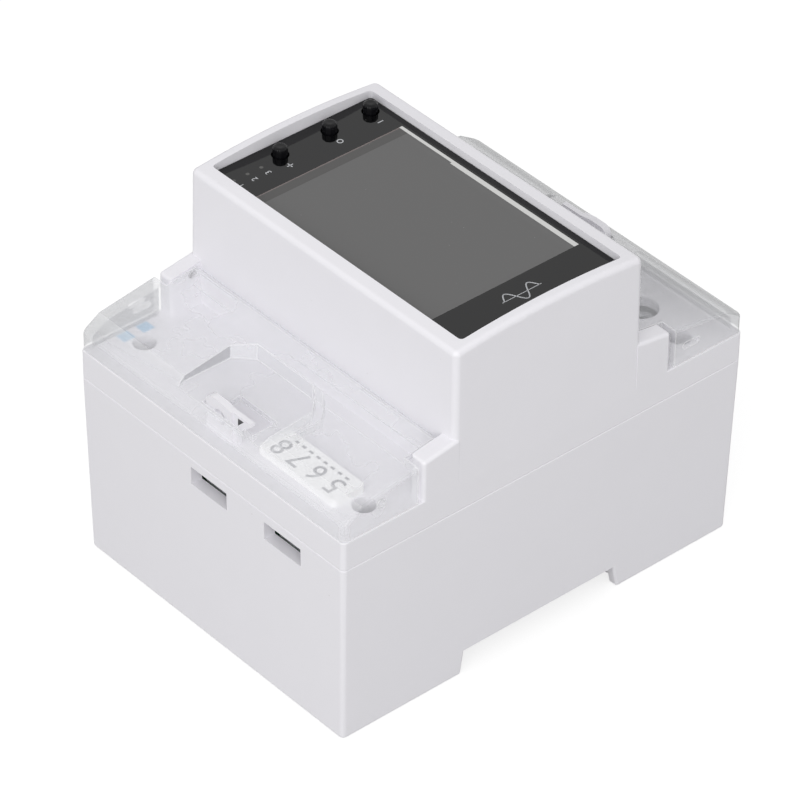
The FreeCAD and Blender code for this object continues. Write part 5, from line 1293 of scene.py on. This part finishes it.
@dataclass
class MainsClamps(CadParts):
    """The mains terminal block with its cages, screws and bars."""

    DRESS = (("zinc", ("clamp_cage_1", "clamp_cage_2", "clamp_cage_3", "clamp_cage_4")),
             ("copper", ("current_shunt", "neutral_bar")))

    count: int = 4

    def build(self, finishes: Finishes) -> None:
        """Dress the clamps and the bars that join them."""
        recoat("mains_terminal_block", "clamp_block", finishes.block, "terminal_plastic")
        for number in range(1, self.count + 1):
            recoat(f"clamp_screw_{number}", f"screw_{number}_turned", finishes.zinc, "zinc_steel",
                   f"screw_{number}")
        super().build(finishes)


class SignalSockets(CadParts):
    """The two plug sockets in the upper end wall and their pins."""

    DRESS = (("housing", ("signal_socket_1", "signal_socket_2")), ("tin", ("signal_pins",)))


@dataclass
class RailClip:
    """The sliding clip on the back and the spring that pushes it to the rail."""

    coil_radius: float = 1.02
    wire_radius: float = 0.18
    coil_turns: float = 8.0
    coil_start: float = -26.1
    coil_end: float = -35.9
    coil_height: float = 3.0
    travel: float = 3.5

    def build(self, finishes: Finishes) -> None:
        """Make the clip's copy and the coil spring."""
        recoat("rail_clip", "clip_plate", finishes.clip, "clip_plastic", "clip")
        self._spring(finishes)

    def _spring(self, finishes: Finishes) -> None:
        """Wind the spring and lay it in place of the CAD spring."""
        length = self.coil_start - self.coil_end
        thing = put("clip_coil", bpy.data.meshes.new("clip_coil"))
        COILS.grow(thing, {"Turns": self.coil_turns, "Radius": self.coil_radius * MM,
                           "Length": (length - 2.0 * self.wire_radius) * MM,
                           "Wire radius": self.wire_radius * MM, "Material": finishes.spring})
        lay = (Matrix.Translation(Vector((0.0, self.coil_start - self.wire_radius, self.coil_height)) * MM)
               @ Matrix.Rotation(math.radians(90.0), 4, "X"))
        thing.data.transform(lay)
        register(thing, HULL, ["clip_spring"])
        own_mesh(thing)


@dataclass
class CircuitBoards(CadParts):
    """The four boards with their screws and small parts."""

    DRESS = (("board", ("display_board", "main_board", "signal_board", "radio_board")),
             ("zinc", ("display_board_screws", "main_board_screws", "signal_board_screws", "housing_screws")),
             ("tin", ("radio_can", "clock_battery")), ("chip", ("board_chips", "board_header", "input_fuse")))

    main_bottom: float = 13.0
    joint: tuple[Place, ...] = ((0.2, -0.34), (0.36, -0.14), (0.5, 0.02))
    joint_place: Place = (-5.08, 25.1)
    joint_sides: int = 12
    joint_steps: Place = (2.54, -1.27)
    joint_count: int = 5

    def build(self, finishes: Finishes) -> None:
        """Dress the boards and lay two rows of solder joints under the header."""
        super().build(finishes)
        unit = Form().lathe([(radius, self.main_bottom + rise) for radius, rise in self.joint],
                            self.joint_place, self.joint_sides)
        across, along = self.joint_steps
        row("solder_joints", unit, finishes.tin, self.joint_count, (across, 0.0, 0.0), 2, (0.0, along, 0.0))


class SupplyParts(CadParts):
    """The transformer, the capacitors and the surge varistor of the supply."""

    DRESS = (("ferrite", ("transformer_core",)), ("tape", ("transformer_winding",)),
             ("sleeve", ("supply_capacitors",)), ("varistor", ("surge_varistor",)))


class Links(CadParts):
    """The ribbon between the boards and its sockets."""

    DRESS = (("film", ("display_ribbon",)), ("switch", ("ribbon_sockets",)))


@dataclass
class Studio:
    """The camera of the photograph, a pale floor and soft light."""

    azimuth: float = 228.657
    elevation: float = 37.735
    roll: float = 0.804
    offset: Point = (-1.736, 24.748, 958.544)
    lens: float = 235.537
    film_width: float = 36.0
    clip: Place = (0.05, 20.0)
    ambient: float = 0.72
    lamp_place: Point = (-0.55, 0.7, 0.55)
    lamp_aim: Point = (0.0, 0.0, 0.04)
    lamp_width: float = 0.9
    lamp_power: float = 6.2
    floor_white: float = 0.74
    floor_grey: float = 0.36
    floor_seen_grey: float = 0.35
    floor_half: float = 2500.0
    floor_levels: Place = (-2.0, -0.02)

    def build(self) -> None:
        """Make the camera, the world, the lamp and the floor."""
        self._camera()
        self._world()
        self._lamp()
        self._floor()
        bpy.context.scene.view_settings.view_transform = "Standard"

    def _camera(self) -> None:
        """Stand the camera where the photograph was taken."""
        turn, lift, roll = (math.radians(part) for part in (self.azimuth, self.elevation, self.roll))
        back = Vector((math.sin(turn) * math.cos(lift), -math.cos(turn) * math.cos(lift), math.sin(lift)))
        level = Vector((math.cos(turn), math.sin(turn), 0.0))
        up = back.cross(level)
        right = level * math.cos(roll) + up * math.sin(roll)
        upright = up * math.cos(roll) - level * math.sin(roll)
        axes = Matrix((right, upright, back)).transposed()
        camera = bpy.data.cameras.new("camera")
        camera.sensor_width, camera.lens = self.film_width, self.lens
        camera.clip_start, camera.clip_end = self.clip
        holder = put("camera", camera)
        holder.matrix_world = Matrix.Translation(axes @ Vector(self.offset) * MM) @ axes.to_4x4()
        bpy.context.scene.camera = holder

    def _world(self) -> None:
        """Light the meter evenly, and let the camera and gloss see plain white."""
        tree = ShaderTree("studio", "worlds")
        bpy.context.scene.world = tree.owner
        shades = [tree.node("ShaderNodeBackground", {}, {"Color": WHITE, "Strength": strength}).outputs[0]
                  for strength in (self.ambient, 1.0)]
        tree.finish(tree.either(tree.seen_plainly(), *shades), "ShaderNodeOutputWorld")

    def _lamp(self) -> None:
        """Hang one large soft lamp that points at the meter."""
        lamp = bpy.data.lights.new("front_box", "AREA")
        lamp.shape, lamp.size, lamp.energy = "SQUARE", self.lamp_width, self.lamp_power
        holder = put("front_box", lamp)
        holder.location = self.lamp_place
        aim = Vector(self.lamp_aim) - Vector(self.lamp_place)
        holder.rotation_euler = aim.to_track_quat("-Z", "Y").to_euler()

    def _floor(self) -> None:
        """Lay a floor that the camera sees as white, with the meter's shadow on it."""
        tree = ShaderTree("floor_white")
        plain, pale = (tree.node("ShaderNodeBsdfDiffuse", {}, {"Color": (grey, grey, grey, 1.0)}).outputs[0]
                       for grey in (self.floor_grey, self.floor_seen_grey))
        glow = tree.node("ShaderNodeEmission", {}, {"Color": WHITE, "Strength": self.floor_white})
        both = tree.node("ShaderNodeAddShader", {}, {0: pale, 1: glow.outputs[0]}).outputs[0]
        half = self.floor_half
        floor = Form().block((-half, -half), (half, half), *self.floor_levels).loose("floor")
        floor.data.materials.append(tree.finish(tree.either(tree.seen_plainly(), plain, both)))


def main() -> None:
    """Build the meter's looks piece by piece."""
    logging.basicConfig(level=logging.INFO, format="%(message)s")
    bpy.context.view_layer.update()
    finishes = Finishes()
    parts = (Casing(), TerminalCovers(), DisplayWindow(), Keys(), StatusLamps(), TerminalLabel(),
             MainsClamps(), SignalSockets(), RailClip(), CircuitBoards(), SupplyParts(), Links())
    for part in parts:
        part.build(finishes)
        LOG.info("%s done", type(part).__name__)
    Studio().build()


if __name__ == "__main__":
    main()
